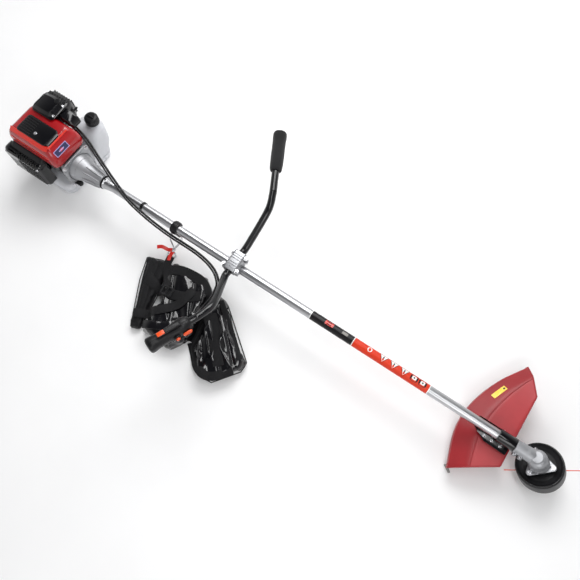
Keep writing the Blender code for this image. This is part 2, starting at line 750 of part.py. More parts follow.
def make_gear_case():
    neck_back = 1.3616
    profile = [
        (0, 0.0225), (0.0150, 0.0225), (0.0165, 0.0210), (0.0165, 0.0180), (0.0225, 0.0140),
        (0.0240, 0.0060), (0.0240, -0.0160), (0.0260, -0.0220), (0.0260, -0.0280), (0, -0.0280),
    ]
    case = as_mesh_with_material(
        turned("gear_case", "cast_aluminium", profile, Matrix(), SPINDLE, steps=28)
    )
    to_machine = along_shaft()
    neck = turned_mesh("neck", disc_profile(0.0180, neck_back, GEAR_X - 0.0080), 28)
    cut(case, "gear_case_neck", neck, to_machine, operation="UNION")
    socket = turned_mesh("socket", disc_profile(TUBE_RADIUS + GAP, neck_back - 0.0100, 1.3950), 24)
    cut(case, "gear_case_socket", socket, to_machine)
    pinion_bore = turned_mesh("bore", disc_profile(0.0095, 1.3900, GEAR_X - 0.0050), 20)
    cut(case, "gear_case_bore", pinion_bore, to_machine)
    cavity = turned_mesh("cavity", disc_profile(0.0188, -0.0350, 0.0140), 24)
    cut(case, "gear_case_cavity", cavity, Matrix(), SPINDLE)
    turned(
        "pinion", "steel",
        [(0, 1.4116), (0.0060, 1.4116), (0.0080, 1.4040), (0.0080, 1.3990), (0, 1.3990)],
        along_shaft(), steps=16,
    )
    turned(
        "bevel_gear", "steel",
        [(0.0044, -0.0040), (0.0110, -0.0040), (0.0175, -0.0018), (0.0178, -0.0060),
         (0.0120, -0.0120), (0.0044, -0.0120)],
        Matrix(), SPINDLE,
    )
    turned("spindle", "steel", disc_profile(ROD_RADIUS, -0.0780, 0.0060), Matrix(), SPINDLE, steps=14)
    turned(
        "spindle_bearing", "steel", ring_profile(ROD_RADIUS + 0.0001, 0.0184, -0.0270, -0.0180),
        Matrix(), SPINDLE,
    )
    corners = []
    for turn in (90, 210, 330):
        corners += arc(0.0085, turn - 60, turn + 60, 4, (0.0330 * math.cos(math.radians(turn)),
                                                       0.0330 * math.sin(math.radians(turn))))
    facing_back = Matrix.Translation((0, 0, -0.0306)) @ Matrix.Rotation(math.radians(40), 4, "Z")
    plate(
        "gear_case_flange", "aluminium", [corners, circle(0.0060, 16)], 0.0040, facing_back, SPINDLE,
        edge=0.0006,
    )


def make_head():
    hub = ROD_RADIUS + GAP
    cup = [
        (hub, -0.0440), (0.0400, -0.0440), (0.0500, -0.0400), (0.0560, -0.0370), (0.0590, -0.0380),
        (HEAD_RADIUS, -0.0440), (HEAD_RADIUS, -0.0780), (0.0570, -0.0800), (0.0570, -0.0520),
        (hub, -0.0520),
    ]
    turned("trimmer_head_cup", "black_plastic", cup, Matrix(), SPINDLE, steps=36)
    spool = [
        (hub, -0.0540), (0.0480, -0.0540), (0.0480, -0.0570), (0.0250, -0.0580), (0.0250, -0.0690),
        (0.0480, -0.0700), (0.0480, -0.0730), (hub, -0.0730),
    ]
    turned("line_spool", "black_plastic", spool, Matrix(), SPINDLE, steps=24)
    cover = [
        (0, -0.0825), (0.0560, -0.0825), (0.0580, -0.0850), (0.0550, -0.0950), (0.0460, -0.1025),
        (0.0245, -0.1025), (0.0245, -0.0880), (0, -0.0880),
    ]
    turned("trimmer_head_cover", "black_plastic", cover, Matrix(), SPINDLE, steps=32)
    knob = [(0, -0.0925), (0.0225, -0.0925), (0.0225, -0.1020), (0.0200, -0.1070), (0, -0.1080)]
    turned("bump_knob", "black_plastic", knob, Matrix(), SPINDLE, steps=24)
    out = Vector((math.cos(LINE_TURN), math.sin(LINE_TURN), 0)) * LINE_REACH
    height = Vector((0, 0, -0.0812))
    tube("cutting_line", "line_nylon", [height - out, height, height + out], 0.0010, SPINDLE, resolution=1)


GUARD_NECK_X = 1.3620


def make_guard():
    outline = ring_clamp_outline(TUBE_RADIUS + GAP, 0.0178, -0.0226, 0.0050)
    plate("bracket_clamp", "black_plastic", outline, 0.0470, along_shaft(1.3372))
    corners = [(1.2580, -0.0080), (1.2960, -0.0320), (1.3580, -0.0320), (1.3580, 0.0240), (1.2580, 0.0240)]
    plate(
        "bracket_plate", "black_paint", [corners], 0.0030, Matrix.Translation((0, 0, -0.0246))
    )
    make_guard_shell()
    box(
        "line_blade", "steel", (0.0240, 0.0016, 0.0230), (1.2660, -0.1290, -0.0985),
        Matrix.Rotation(math.radians(-33), 4, "Z"),
    )


def make_guard_shell():
    """The guard's plan: a straight front edge beside the bracket, a fan-shaped rear edge, a flat top
    to the crease, a sloping band beyond it and a short lip."""
    spans = 18
    front = [Vector((GUARD_NECK_X, -0.0600 + 0.2130 * i / spans, 0)) for i in range(spans + 1)]
    rear = smooth_route(
        [(1.2600, -0.1300, 0), (1.2340, -0.0450, 0), (1.2300, 0.0150, 0), (1.2420, 0.0800, 0),
         (1.2720, 0.1550, 0), (1.3170, 0.2280, 0)],
        1,
    )
    rear = resample(rear, spans)
    rows = []
    for start, end in zip(front, rear):
        crease = start.lerp(end, 0.62)
        lip = start.lerp(end, 1.01)
        rows.append([
            (start.x, start.y, -0.0300), (crease.x, crease.y, -0.0420), (end.x, end.y, -0.0700),
            (lip.x, lip.y, -0.0860),
        ])
    bm = bmesh.new()
    grid = [[bm.verts.new(point) for point in row] for row in rows]
    for left, right in zip(grid, grid[1:]):
        for i in range(len(left) - 1):
            bm.faces.new((left[i], right[i], right[i + 1], left[i + 1]))
    bmesh.ops.recalc_face_normals(bm, faces=bm.faces)
    obj = mesh_object("guard", bm)
    if obj.data.polygons[0].normal.z < 0:
        obj.data.flip_normals()
    shell(place(obj, "red_plastic"), 0.0025)


def resample(points, spans):
    """Points at equal steps along a smooth curve through the given ones."""
    dense = smooth_route(points, 12)
    lengths = [0.0]
    for a, b in zip(dense, dense[1:]):
        lengths.append(lengths[-1] + (b - a).length)
    out = []
    for step in range(spans + 1):
        goal = lengths[-1] * step / spans
        i = min(max(sum(1 for length in lengths if length < goal), 1), len(dense) - 1)
        part = (goal - lengths[i - 1]) / max(lengths[i] - lengths[i - 1], 1e-9)
        out.append(dense[i - 1].lerp(dense[i], part))
    return out


# Harness, lying on the ground at the right side


def cushion(name, outline, low, high, inset):
    """A soft slab: the outline narrows towards its bottom and top faces."""
    centre = sum((Vector(p) for p in outline), Vector((0, 0))) / len(outline)

    def shrunk(z, amount):
        ring = []
        for point in outline:
            arm = Vector(point) - centre
            moved = centre + arm * (1 - amount / arm.length)
            ring.append((moved.x, moved.y, z))
        return ring

    middle = (low + high) / 2
    return lofted(
        name, "harness_cloth",
        [shrunk(low, inset), shrunk(low + 0.004, inset * 0.35), shrunk(middle, 0.0),
         shrunk(high - 0.004, inset * 0.35), shrunk(high, inset)],
    )


def make_harness():
    ground = -SHAFT_HEIGHT
    cushion(
        "harness_hip_pad",
        [(0.2140, -0.1000), (0.2600, -0.0800), (0.3000, -0.0780), (0.3400, -0.2860), (0.3120, -0.3000),
         (0.2400, -0.1700)],
        ground + 0.0005, ground + 0.0340, 0.006,
    )
    cushion(
        "harness_bundle",
        [(0.3040, -0.0700), (0.4200, -0.0560), (0.4580, -0.0800), (0.4900, -0.2400), (0.4500, -0.2920),
         (0.3520, -0.2920)],
        ground + 0.0005, ground + 0.0560, 0.012,
    )
    cushion(
        "harness_thigh_pad",
        [(0.4640, -0.0760), (0.5100, -0.0860), (0.6600, -0.1980), (0.6600, -0.2280), (0.6080, -0.3000),
         (0.5600, -0.3060), (0.4980, -0.2520)],
        ground + 0.0005, ground + 0.0420, 0.010,
    )
    eye = Vector((SUSPENSION_X, 0, EYE_Z))
    hook = smooth_route(
        [eye + Vector(step) for step in (
            (-0.0180, -0.0120, -0.0080), (-0.0130, 0, -0.0020), (0, 0, 0), (0.0130, -0.0010, -0.0020),
            (0.0180, -0.0120, -0.0100), (0.0150, -0.0260, -0.0200), (0.0090, -0.0400, -0.0300))],
        4,
    )
    tube("snap_hook", "steel", hook, 0.0024, resolution=2)
    strap = smooth_route(
        [(0.2810, -0.0440, -0.0680), (0.2780, -0.0540, -0.0740), (0.2760, -0.0640, -0.0760)], 3
    )
    tube("release_strap", "red_plastic", strap, 0.0050, resolution=2)


def main():
    make_shaft()
    make_clutch()
    make_crank_train()
    make_crankcase()
    make_cylinder()
    make_covers()
    make_starter_grip()
    make_muffler()
    make_intake()
    make_tank()
    make_suspension()
    make_handle_clamp()
    make_handlebars()
    make_throttle()
    make_cable()
    make_gear_case()
    make_head()
    make_guard()
    make_harness()


main()
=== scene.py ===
"""Looks of the brush cutter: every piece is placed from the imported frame, in metres, +Z up.

Positions are written in the machine's own frame and moved by MACHINE: its origin is on the shaft's axis
at the front end of the clutch housing, +X runs to the trimmer head and +Y is the operator's left.
SPINDLE is the frame whose -Z runs down the trimmer head's spindle.
"""

import math

import bmesh
import bpy
from mathutils import Matrix, Vector, noise


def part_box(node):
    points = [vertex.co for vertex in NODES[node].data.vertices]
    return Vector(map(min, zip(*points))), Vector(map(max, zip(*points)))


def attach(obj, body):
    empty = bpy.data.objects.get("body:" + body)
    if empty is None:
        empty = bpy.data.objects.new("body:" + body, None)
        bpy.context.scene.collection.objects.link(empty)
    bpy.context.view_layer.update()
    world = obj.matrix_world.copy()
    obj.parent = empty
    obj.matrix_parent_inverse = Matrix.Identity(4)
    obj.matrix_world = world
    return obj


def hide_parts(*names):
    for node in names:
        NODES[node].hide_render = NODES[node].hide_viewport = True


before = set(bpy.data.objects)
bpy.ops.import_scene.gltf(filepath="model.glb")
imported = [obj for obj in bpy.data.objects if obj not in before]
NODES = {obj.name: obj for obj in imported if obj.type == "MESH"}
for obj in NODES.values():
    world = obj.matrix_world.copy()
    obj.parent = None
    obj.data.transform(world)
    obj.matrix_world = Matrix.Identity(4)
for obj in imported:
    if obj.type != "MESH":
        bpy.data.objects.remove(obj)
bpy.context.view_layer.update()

TUBE_LOW, TUBE_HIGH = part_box("shaft_tube")
TUBE_BACK = 0.05
TUBE_RADIUS = (TUBE_HIGH.z - TUBE_LOW.z) / 2
MACHINE = Matrix.Translation(
    (TUBE_LOW.x + TUBE_BACK, (TUBE_LOW.y + TUBE_HIGH.y) / 2, (TUBE_LOW.z + TUBE_HIGH.z) / 2)
)
GROUND = -MACHINE.translation.z
GEAR_X = 1.4256
SPINDLE_TILT = math.radians(30)
SPINDLE = MACHINE @ Matrix.Translation((GEAR_X, 0, 0)) @ Matrix.Rotation(-SPINDLE_TILT, 4, "Y")
HANDLE_X = 0.488
HANDLE_Z = 0.03
SUSPENSION_X = 0.272


# Camera, light and floor


def make_camera():
    """Seen from above and a little from the right front, turned so that the shaft falls to the right."""
    target = MACHINE @ Vector((0.6557, 0, 0))
    distance = 1.55
    side, height = math.radians(11), math.radians(16)
    towards = Vector((
        math.sin(side), -math.sin(height) * math.cos(side), math.cos(height) * math.cos(side)
    ))
    along = (Vector((1, 0, 0)) - towards * towards.x).normalized()
    across = towards.cross(along)
    roll = math.radians(32.5)
    right = along * math.cos(roll) + across * math.sin(roll)
    up = across * math.cos(roll) - along * math.sin(roll)
    data = bpy.data.cameras.new("camera")
    data.sensor_width = 36
    data.lens = 34.63
    camera = bpy.data.objects.new("camera", data)
    turn = Matrix((right, up, towards)).transposed().to_4x4()
    lift = 0.0256
    camera.matrix_world = Matrix.Translation(target + towards * distance + across * lift) @ turn
    bpy.context.scene.collection.objects.link(camera)
    bpy.context.scene.camera = camera


def area_light(name, place, aim, size, power, colour=(1, 1, 1)):
    data = bpy.data.lights.new(name, "AREA")
    data.shape = "RECTANGLE"
    data.size, data.size_y = size
    data.energy = power
    data.color = colour
    light = bpy.data.objects.new(name, data)
    light.location = place
    light.rotation_euler = (Vector(aim) - Vector(place)).to_track_quat("-Z", "Y").to_euler()
    bpy.context.scene.collection.objects.link(light)


def make_light():
    """Soft boxes over the machine and a world that is bright at the horizon and dim above."""
    area_light("key_softbox", (-0.6, 1.5, 2.0), (0, 0, 0), (1.9, 1.1), 42)
    area_light("fill_softbox", (1.2, -1.7, 1.7), (0, 0, 0), (1.4, 1.0), 16)
    area_light("top_strip", (0.1, 0.15, 2.3), (0, 0, 0), (2.6, 0.35), 20)
    world = bpy.data.worlds.new("studio")
    world.use_nodes = True
    nodes, links = world.node_tree.nodes, world.node_tree.links
    coords = nodes.new("ShaderNodeTexCoord")
    split = nodes.new("ShaderNodeSeparateXYZ")
    ramp = nodes.new("ShaderNodeValToRGB")
    ramp.color_ramp.elements[0].position = 0.3
    ramp.color_ramp.elements[0].color = (1.0, 1.0, 1.0, 1)
    ramp.color_ramp.elements[1].position = 0.85
    ramp.color_ramp.elements[1].color = (0.1, 0.1, 0.11, 1)
    links.new(coords.outputs["Generated"], split.inputs[0])
    links.new(split.outputs["Z"], ramp.inputs["Fac"])
    links.new(ramp.outputs["Color"], nodes["Background"].inputs["Color"])
    nodes["Background"].inputs["Strength"].default_value = 0.8
    bpy.context.scene.world = world
    bpy.context.scene.view_settings.view_transform = "Standard"


def make_floor():
    bm = bmesh.new()
    bmesh.ops.create_grid(bm, x_segments=2, y_segments=2, size=6)
    floor = mesh_object("floor", bm)
    floor.location.z = -0.0005
    bpy.context.scene.collection.objects.link(floor)
    floor.data.materials.append(surface("studio_floor", (0.93, 0.93, 0.93), 0.85, mottle=0.02,
                                        mottle_scale=3))


# Materials


def noise_node(nodes, links, coords, scale, detail=2.0, stretch=None):
    texture = nodes.new("ShaderNodeTexNoise")
    texture.inputs["Scale"].default_value = scale
    texture.inputs["Detail"].default_value = detail
    if stretch:
        mapping = nodes.new("ShaderNodeMapping")
        mapping.inputs["Scale"].default_value = stretch
        links.new(coords.outputs["Object"], mapping.inputs["Vector"])
        links.new(mapping.outputs["Vector"], texture.inputs["Vector"])
    else:
        links.new(coords.outputs["Object"], texture.inputs["Vector"])
    return texture


def surface(name, colour, roughness, metallic=0.0, grain=0.0, grain_scale=900.0, mottle=0.1,
            mottle_scale=14.0, wear=0.06, stretch=None, coat=0.0, sheen=0.0, subsurface=0.0, edge=0.0,
            ripple=0.0, ripple_scale=30.0, specular=0.5):
    """A Principled material whose colour and roughness drift over the surface, with a fine grain.

    mottle is the drift of the colour, wear that of the roughness, grain and ripple are the depths of
    the fine and the broad bumps in millimetres, and edge is the radius that softens a hard edge."""
    made = bpy.data.materials.new(name)
    made.use_nodes = True
    nodes, links = made.node_tree.nodes, made.node_tree.links
    shader = nodes["Principled BSDF"]
    shader.inputs["Metallic"].default_value = metallic
    shader.inputs["Specular IOR Level"].default_value = specular
    shader.inputs["Coat Weight"].default_value = coat
    shader.inputs["Coat Roughness"].default_value = 0.06
    shader.inputs["Sheen Weight"].default_value = sheen
    shader.inputs["Subsurface Weight"].default_value = subsurface
    shader.inputs["Subsurface Radius"].default_value = (0.012, 0.012, 0.012)
    coords = nodes.new("ShaderNodeTexCoord")

    broad = noise_node(nodes, links, coords, mottle_scale, 4.0)
    tint = nodes.new("ShaderNodeValToRGB")
    tint.color_ramp.elements[0].position = 0.3
    tint.color_ramp.elements[0].color = (*[c * (1 - mottle) for c in colour], 1)
    tint.color_ramp.elements[1].position = 0.7
    tint.color_ramp.elements[1].color = (*[min(c * (1 + mottle), 1) for c in colour], 1)
    links.new(broad.outputs["Fac"], tint.inputs["Fac"])
    links.new(tint.outputs["Color"], shader.inputs["Base Color"])

    fine = noise_node(nodes, links, coords, grain_scale, 2.0, stretch)
    rough = nodes.new("ShaderNodeMapRange")
    rough.inputs["To Min"].default_value = max(roughness - wear, 0.02)
    rough.inputs["To Max"].default_value = min(roughness + wear, 1.0)
    mixed = nodes.new("ShaderNodeMath")
    mixed.operation = "MULTIPLY_ADD"
    mixed.inputs[1].default_value = 0.5
    halved = nodes.new("ShaderNodeMath")
    halved.operation = "MULTIPLY"
    halved.inputs[1].default_value = 0.5
    links.new(broad.outputs["Fac"], halved.inputs[0])
    links.new(fine.outputs["Fac"], mixed.inputs[0])
    links.new(halved.outputs[0], mixed.inputs[2])
    links.new(mixed.outputs[0], rough.inputs["Value"])
    links.new(rough.outputs["Result"], shader.inputs["Roughness"])

    normal = None
    if edge:
        bevel = nodes.new("ShaderNodeBevel")
        bevel.samples = 4
        bevel.inputs["Radius"].default_value = edge
        normal = bevel.outputs["Normal"]
    for depth, source in ((grain, fine), (ripple, None)):
        if not depth:
            continue
        source = source or noise_node(nodes, links, coords, ripple_scale, 3.0)
        bump = nodes.new("ShaderNodeBump")
        bump.inputs["Strength"].default_value = 1.0
        bump.inputs["Distance"].default_value = depth / 1000
        links.new(source.outputs["Fac"], bump.inputs["Height"])
        if normal:
            links.new(normal, bump.inputs["Normal"])
        normal = bump.outputs["Normal"]
    if normal:
        links.new(normal, shader.inputs["Normal"])
    return made


def woven(name, colour, roughness, pitch):
    """Cloth with a plain weave: two sets of bands across each other, as raised threads."""
    made = surface(name, colour, roughness, grain=0.02, grain_scale=1500, sheen=0.02, specular=0.22)
    nodes, links = made.node_tree.nodes, made.node_tree.links
    coords = nodes.new("ShaderNodeTexCoord")
    heights = []
    for direction in ("X", "Y"):
        bands = nodes.new("ShaderNodeTexWave")
        bands.bands_direction = direction
        bands.inputs["Scale"].default_value = 0.314 / pitch
        links.new(coords.outputs["Object"], bands.inputs["Vector"])
        heights.append(bands.outputs["Fac"])
    crossing = nodes.new("ShaderNodeMath")
    crossing.operation = "MULTIPLY"
    links.new(heights[0], crossing.inputs[0])
    links.new(heights[1], crossing.inputs[1])
    bump = nodes.new("ShaderNodeBump")
    bump.inputs["Strength"].default_value = 0.8
    bump.inputs["Distance"].default_value = pitch * 0.35
    links.new(crossing.outputs[0], bump.inputs["Height"])
    shader = nodes["Principled BSDF"]
    links.new(shader.inputs["Normal"].links[0].from_socket, bump.inputs["Normal"])
    links.new(bump.outputs["Normal"], shader.inputs["Normal"])
    return made


def make_materials():
    return {
        "drawn_aluminium": surface("drawn_aluminium", (0.5, 0.505, 0.52), 0.31, 1.0, grain=0.012,
                                   grain_scale=60, stretch=(0.5, 30, 30), mottle=0.03, wear=0.07),
        "cast_aluminium": surface("cast_aluminium", (0.35, 0.355, 0.37), 0.46, 0.75, grain=0.06,
                                  grain_scale=1100, mottle=0.08, edge=0.0008),
        "bright_aluminium": surface("bright_aluminium", (0.36, 0.365, 0.38), 0.4, 1.0, grain=0.03,
                                    grain_scale=900, mottle=0.05, edge=0.001),
        "zinc_steel": surface("zinc_steel", (0.66, 0.66, 0.68), 0.27, 1.0, grain=0.01, mottle=0.08,
                              mottle_scale=60, edge=0.0003),
        "dark_steel": surface("dark_steel", (0.22, 0.21, 0.2), 0.5, 1.0, grain=0.03, mottle=0.25,
                              edge=0.0005),
        "gloss_black": surface("gloss_black", (0.003, 0.003, 0.004), 0.14, coat=0.15, specular=0.45,
                               grain=0.008, grain_scale=500, mottle=0.3, edge=0.0009),
        "satin_black": surface("satin_black", (0.006, 0.006, 0.007), 0.38, specular=0.28, grain=0.05,
                               grain_scale=1600, mottle=0.25, edge=0.0006),
        "foam": surface("foam", (0.016, 0.016, 0.017), 0.85, specular=0.2, grain=0.35, grain_scale=900,
                        mottle=0.3, sheen=0.15),
        "soft_rubber": surface("soft_rubber", (0.007, 0.007, 0.008), 0.6, specular=0.3, grain=0.05,
                               mottle=0.2),
        "cable_sheath": surface("cable_sheath", (0.003, 0.003, 0.004), 0.26, specular=0.35, grain=0.01,
                                mottle=0.2),
        "bar_paint": surface("bar_paint", (0.003, 0.003, 0.004), 0.17, coat=0.1, specular=0.45,
                             grain=0.015, grain_scale=350, mottle=0.2),
        "cover_red": surface("cover_red", (0.34, 0.003, 0.006), 0.2, coat=0.3, grain=0.008,
                             grain_scale=450, mottle=0.06, edge=0.0012),
        "strip_red": surface("strip_red", (0.66, 0.022, 0.01), 0.28, coat=0.2, grain=0.008,
                             grain_scale=450, mottle=0.05, edge=0.0008),
        # The guard's red in two copies: this darker one is painted shade, for the sloping band, the rims
        # and the ribs; the lighter one below is the flat inner panel painted as lit.
        "guard_painted_shade": surface("guard_painted_shade", (0.3, 0.008, 0.013), 0.42, grain=0.07, grain_scale=700,
                             mottle=0.1, subsurface=0.05, edge=0.0008),
        "guard_painted_lit": surface("guard_painted_lit", (0.4, 0.03, 0.036), 0.46, grain=0.07, grain_scale=700,
                               mottle=0.1, subsurface=0.05, edge=0.0008),
        "ribbon_red": surface("ribbon_red", (0.72, 0.03, 0.02), 0.35, grain=0.04, mottle=0.15),
        "orange": surface("orange", (0.84, 0.085, 0.01), 0.33, coat=0.2, grain=0.01, mottle=0.06,
                          edge=0.0005),
        "tank": surface("tank", (0.6, 0.61, 0.64), 0.36, grain=0.03, grain_scale=600, mottle=0.05,
                        subsurface=0.35, edge=0.0015),
        "pad_cloth": woven("pad_cloth", (0.004, 0.004, 0.005), 0.38, 0.0011),
        "film": surface("film", (0.003, 0.003, 0.004), 0.15, coat=0.6, grain=0.01, mottle=0.3, ripple=1.6,
                        ripple_scale=26, specular=0.4),
        "webbing": woven("webbing", (0.006, 0.006, 0.007), 0.5, 0.0016),
        "line_nylon": surface("line_nylon", (0.78, 0.1, 0.06), 0.35, grain=0.005, mottle=0.05),
        "label_black": surface("label_black", (0.006, 0.005, 0.006), 0.3, specular=0.3, mottle=0.2),
        "label_orange": surface("label_orange", (0.66, 0.036, 0.008), 0.32, specular=0.3, mottle=0.04),
        "label_red": surface("label_red", (0.62, 0.03, 0.02), 0.25, coat=0.5, mottle=0.04),
        "label_white": surface("label_white", (0.82, 0.82, 0.8), 0.3, specular=0.4, mottle=0.03),
        "sticker_yellow": surface("sticker_yellow", (0.85, 0.62, 0.02), 0.3, coat=0.3, mottle=0.04),
        "sticker_blue": surface("sticker_blue", (0.01, 0.012, 0.075), 0.22, coat=0.5, mottle=0.1),
        "sticker_rim": surface("sticker_rim", (0.45, 0.38, 0.72), 0.25, coat=0.5, mottle=0.05),
    }


# Shapes


def mesh_object(name, bm):
    mesh = bpy.data.meshes.new(name)
    bm.to_mesh(mesh)
    bm.free()
    return bpy.data.objects.new(name, mesh)


def show(obj, look, *hidden, body="frame", slot=None, matrix=MACHINE, sharp=40):
    """Links a piece, places it, gives it its look and its body; it stands for the hidden CAD nodes."""
    bpy.context.scene.collection.objects.link(obj)
    obj.matrix_world = matrix
    obj.data.materials.append(LOOKS[look])
    if sharp:
        obj.data.shade_smooth()
        obj.data.set_sharp_from_angle(angle=math.radians(sharp))
    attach(obj, body)
    if hidden:
        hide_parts(*hidden)
    return obj


def moved(x, y, z):
    """A place in the machine's frame, with the machine's axes."""
    return MACHINE @ Matrix.Translation((x, y, z))


def rotated(degrees, axis):
    return Matrix.Rotation(math.radians(degrees), 4, axis)


def along_shaft(x=0.0):
    """Local Z along the shaft, local X sideways (+Y of the machine), local Y up."""
    axes = Matrix(((0, 0, 1, 0), (1, 0, 0, 0), (0, 1, 0, 0), (0, 0, 0, 1)))
    return moved(x, 0, 0) @ axes


def facing(axis, centre=(0, 0, 0)):
    """Local Z along an axis, at a centre, in the machine's frame."""
    turn = Vector(axis).to_track_quat("Z", "Y").to_matrix().to_4x4()
    return moved(*centre) @ turn


def turned(name, profile, steps=64):
    """A profile of (radius, height) points turned about Z, closed on itself where it leaves the axis."""
    ends = profile + [profile[0]]
    area = sum(a[0] * b[1] - b[0] * a[1] for a, b in zip(ends, ends[1:]))
    points = profile if area > 0 else profile[::-1]
    solid = profile[0][0] == 0 and profile[-1][0] == 0
    bm = bmesh.new()
    rings = []
    for radius, height in points:
        if radius == 0:
            rings.append([bm.verts.new((0, 0, height))] * steps)
            continue
        angles = [2 * math.pi * i / steps for i in range(steps)]
        rings.append([bm.verts.new((radius * math.cos(a), radius * math.sin(a), height)) for a in angles])
    pairs = list(zip(rings, rings[1:]))
    if not solid:
        pairs.append((rings[-1], rings[0]))
    for low, high in pairs:
        for i in range(steps):
            j = (i + 1) % steps
            corners = list(dict.fromkeys((low[i], low[j], high[j], high[i])))
            if len(corners) > 2:
                bm.faces.new(corners)
    return mesh_object(name, bm)


def rounded(profile, radius, steps=3):
    """A profile with its corners cut round."""
    out = []
    count = len(profile)
    for i, point in enumerate(profile):
        here = Vector(point)
        if i in (0, count - 1):
            out.append(tuple(here))
            continue
        before, after = Vector(profile[i - 1]), Vector(profile[i + 1])
        near = min(radius, (before - here).length * 0.45, (after - here).length * 0.45)
        start = here + (before - here).normalized() * near
        end = here + (after - here).normalized() * near
        for step in range(steps + 1):
            t = step / steps
            out.append(tuple((1 - t) ** 2 * start + 2 * t * (1 - t) * here + t ** 2 * end))
    return out


def arc(radius, start, end, steps, centre=(0, 0)):
    points = []
    for step in range(steps + 1):
        angle = math.radians(start + (end - start) * step / steps)
        points.append((centre[0] + radius * math.cos(angle), centre[1] + radius * math.sin(angle)))
    return points


def circle(radius, steps=32, centre=(0, 0)):
    return arc(radius, 0, 360 - 360 / steps, steps - 1, centre)


def rounded_rectangle(low, high, radius, steps=6):
    corners = (
        (high[0] - radius, high[1] - radius, 0), (low[0] + radius, high[1] - radius, 90),
        (low[0] + radius, low[1] + radius, 180), (high[0] - radius, low[1] + radius, 270),
    )
    points = []
    for x, y, start in corners:
        points += arc(radius, start, start + 90, steps, (x, y))
    return points


def plate(name, outlines, thickness, edge=0.0):
    """A flat piece in its own XY plane: an outline with holes, made thick and given round edges."""
    curve = bpy.data.curves.new(name, "CURVE")
    curve.dimensions = "2D"
    curve.fill_mode = "BOTH"
    curve.extrude = thickness / 2 - edge
    curve.bevel_depth = edge
    curve.offset = -edge
    curve.bevel_resolution = 2
    for outline in outlines:
        spline = curve.splines.new("POLY")
        spline.points.add(len(outline) - 1)
        for point, (x, y) in zip(spline.points, outline):
            point.co = (x, y, 0, 1)
        spline.use_cyclic_u = True
    return as_mesh(bpy.data.objects.new(name, curve))


def as_mesh(obj):
    """The evaluated shape of an object as a mesh object; the source is removed."""
    bpy.context.scene.collection.objects.link(obj)
    bpy.context.view_layer.update()
    mesh = bpy.data.meshes.new_from_object(obj.evaluated_get(bpy.context.evaluated_depsgraph_get()))
    name = obj.name
    bpy.data.objects.remove(obj)
    mesh.name = name
    return bpy.data.objects.new(name, mesh)


def loft(name, rings, close_low=True, close_high=True):
    """Rings of equal point count joined in order."""
    bm = bmesh.new()
    rows = [[bm.verts.new(point) for point in ring] for ring in rings]
    count = len(rows[0])
    for low, high in zip(rows, rows[1:]):
        for i in range(count):
            j = (i + 1) % count
            bm.faces.new((low[i], low[j], high[j], high[i]))
    if close_low:
        bm.faces.new(rows[0][::-1])
    if close_high:
        bm.faces.new(rows[-1])
    bmesh.ops.recalc_face_normals(bm, faces=bm.faces)
    return mesh_object(name, bm)


def walled(shell, thickness=0.0022):
    """Gives an open shell its wall, on its inner side."""
    wall = shell.modifiers.new("wall", "SOLIDIFY")
    wall.thickness = thickness
    wall.offset = -1
    return wall


def block(name, size, edge=0.001, segments=3):
    bm = bmesh.new()
    bmesh.ops.create_cube(bm, size=1.0)
    bmesh.ops.scale(bm, vec=size, verts=bm.verts)
    bmesh.ops.bevel(bm, geom=bm.edges[:], offset=edge, segments=segments, affect="EDGES", profile=0.5)
    return mesh_object(name, bm)


def smooth_route(points, per_span=4):
    """A Catmull-Rom curve through the points, sampled evenly in each span."""
    knots = [Vector(p) for p in points]
    padded = [2 * knots[0] - knots[1], *knots, 2 * knots[-1] - knots[-2]]
    route = []
    for a, b, c, d in zip(padded, padded[1:], padded[2:], padded[3:]):
        for step in range(per_span):
            t = step / per_span
            route.append(
                0.5 * (2 * b + (c - a) * t + (2 * a - 5 * b + 4 * c - d) * t**2)
                + 0.5 * (3 * b - a - 3 * c + d) * t**3
            )
    route.append(knots[-1])
    return route


def tube(name, points, radius, resolution=5):
    """A round bar through the points, with closed ends."""
    curve = bpy.data.curves.new(name, "CURVE")
    curve.dimensions = "3D"
    curve.bevel_depth = radius
    curve.bevel_resolution = resolution
    curve.use_fill_caps = True
    spline = curve.splines.new("POLY")
    spline.points.add(len(points) - 1)
    for point, position in zip(spline.points, points):
        point.co = (*position, 1)
    return as_mesh(bpy.data.objects.new(name, curve))


def ribbon(name, points, normals, width, thickness):
    """A flat strap along the points, its faces square to the given normals, with round edges."""
    half, high = width / 2, thickness / 2
    section = rounded_rectangle((-half, -high), (half, high), high * 0.9, 2)
    rings = []
    for i, point in enumerate(points):
        ahead = (points[min(i + 1, len(points) - 1)] - points[max(i - 1, 0)]).normalized()
        up = (normals[i] - ahead * normals[i].dot(ahead)).normalized()
        side = ahead.cross(up)
        rings.append([point + side * a + up * b for a, b in section])
    return loft(name, rings)


def bolt(name, matrix, radius=0.0042, height=0.004, look="zinc_steel"):
    """A socket screw with its washer, its head along local +Z."""
    washer = [(0, 0), (radius * 1.55, 0), (radius * 1.55, 0.001), (0, 0.001)]
    head = [(0, 0.001), (radius, 0.001), (radius, height), (radius * 0.88, height + 0.0005)]
    socket = [(radius * 0.52, height + 0.0005), (radius * 0.48, height * 0.55), (0, height * 0.5)]
    show(turned(f"{name}_washer", washer, 24), look, slot="steel", matrix=matrix)
    show(turned(name, head + socket, 24), look, slot="steel", matrix=matrix)


# Shaft


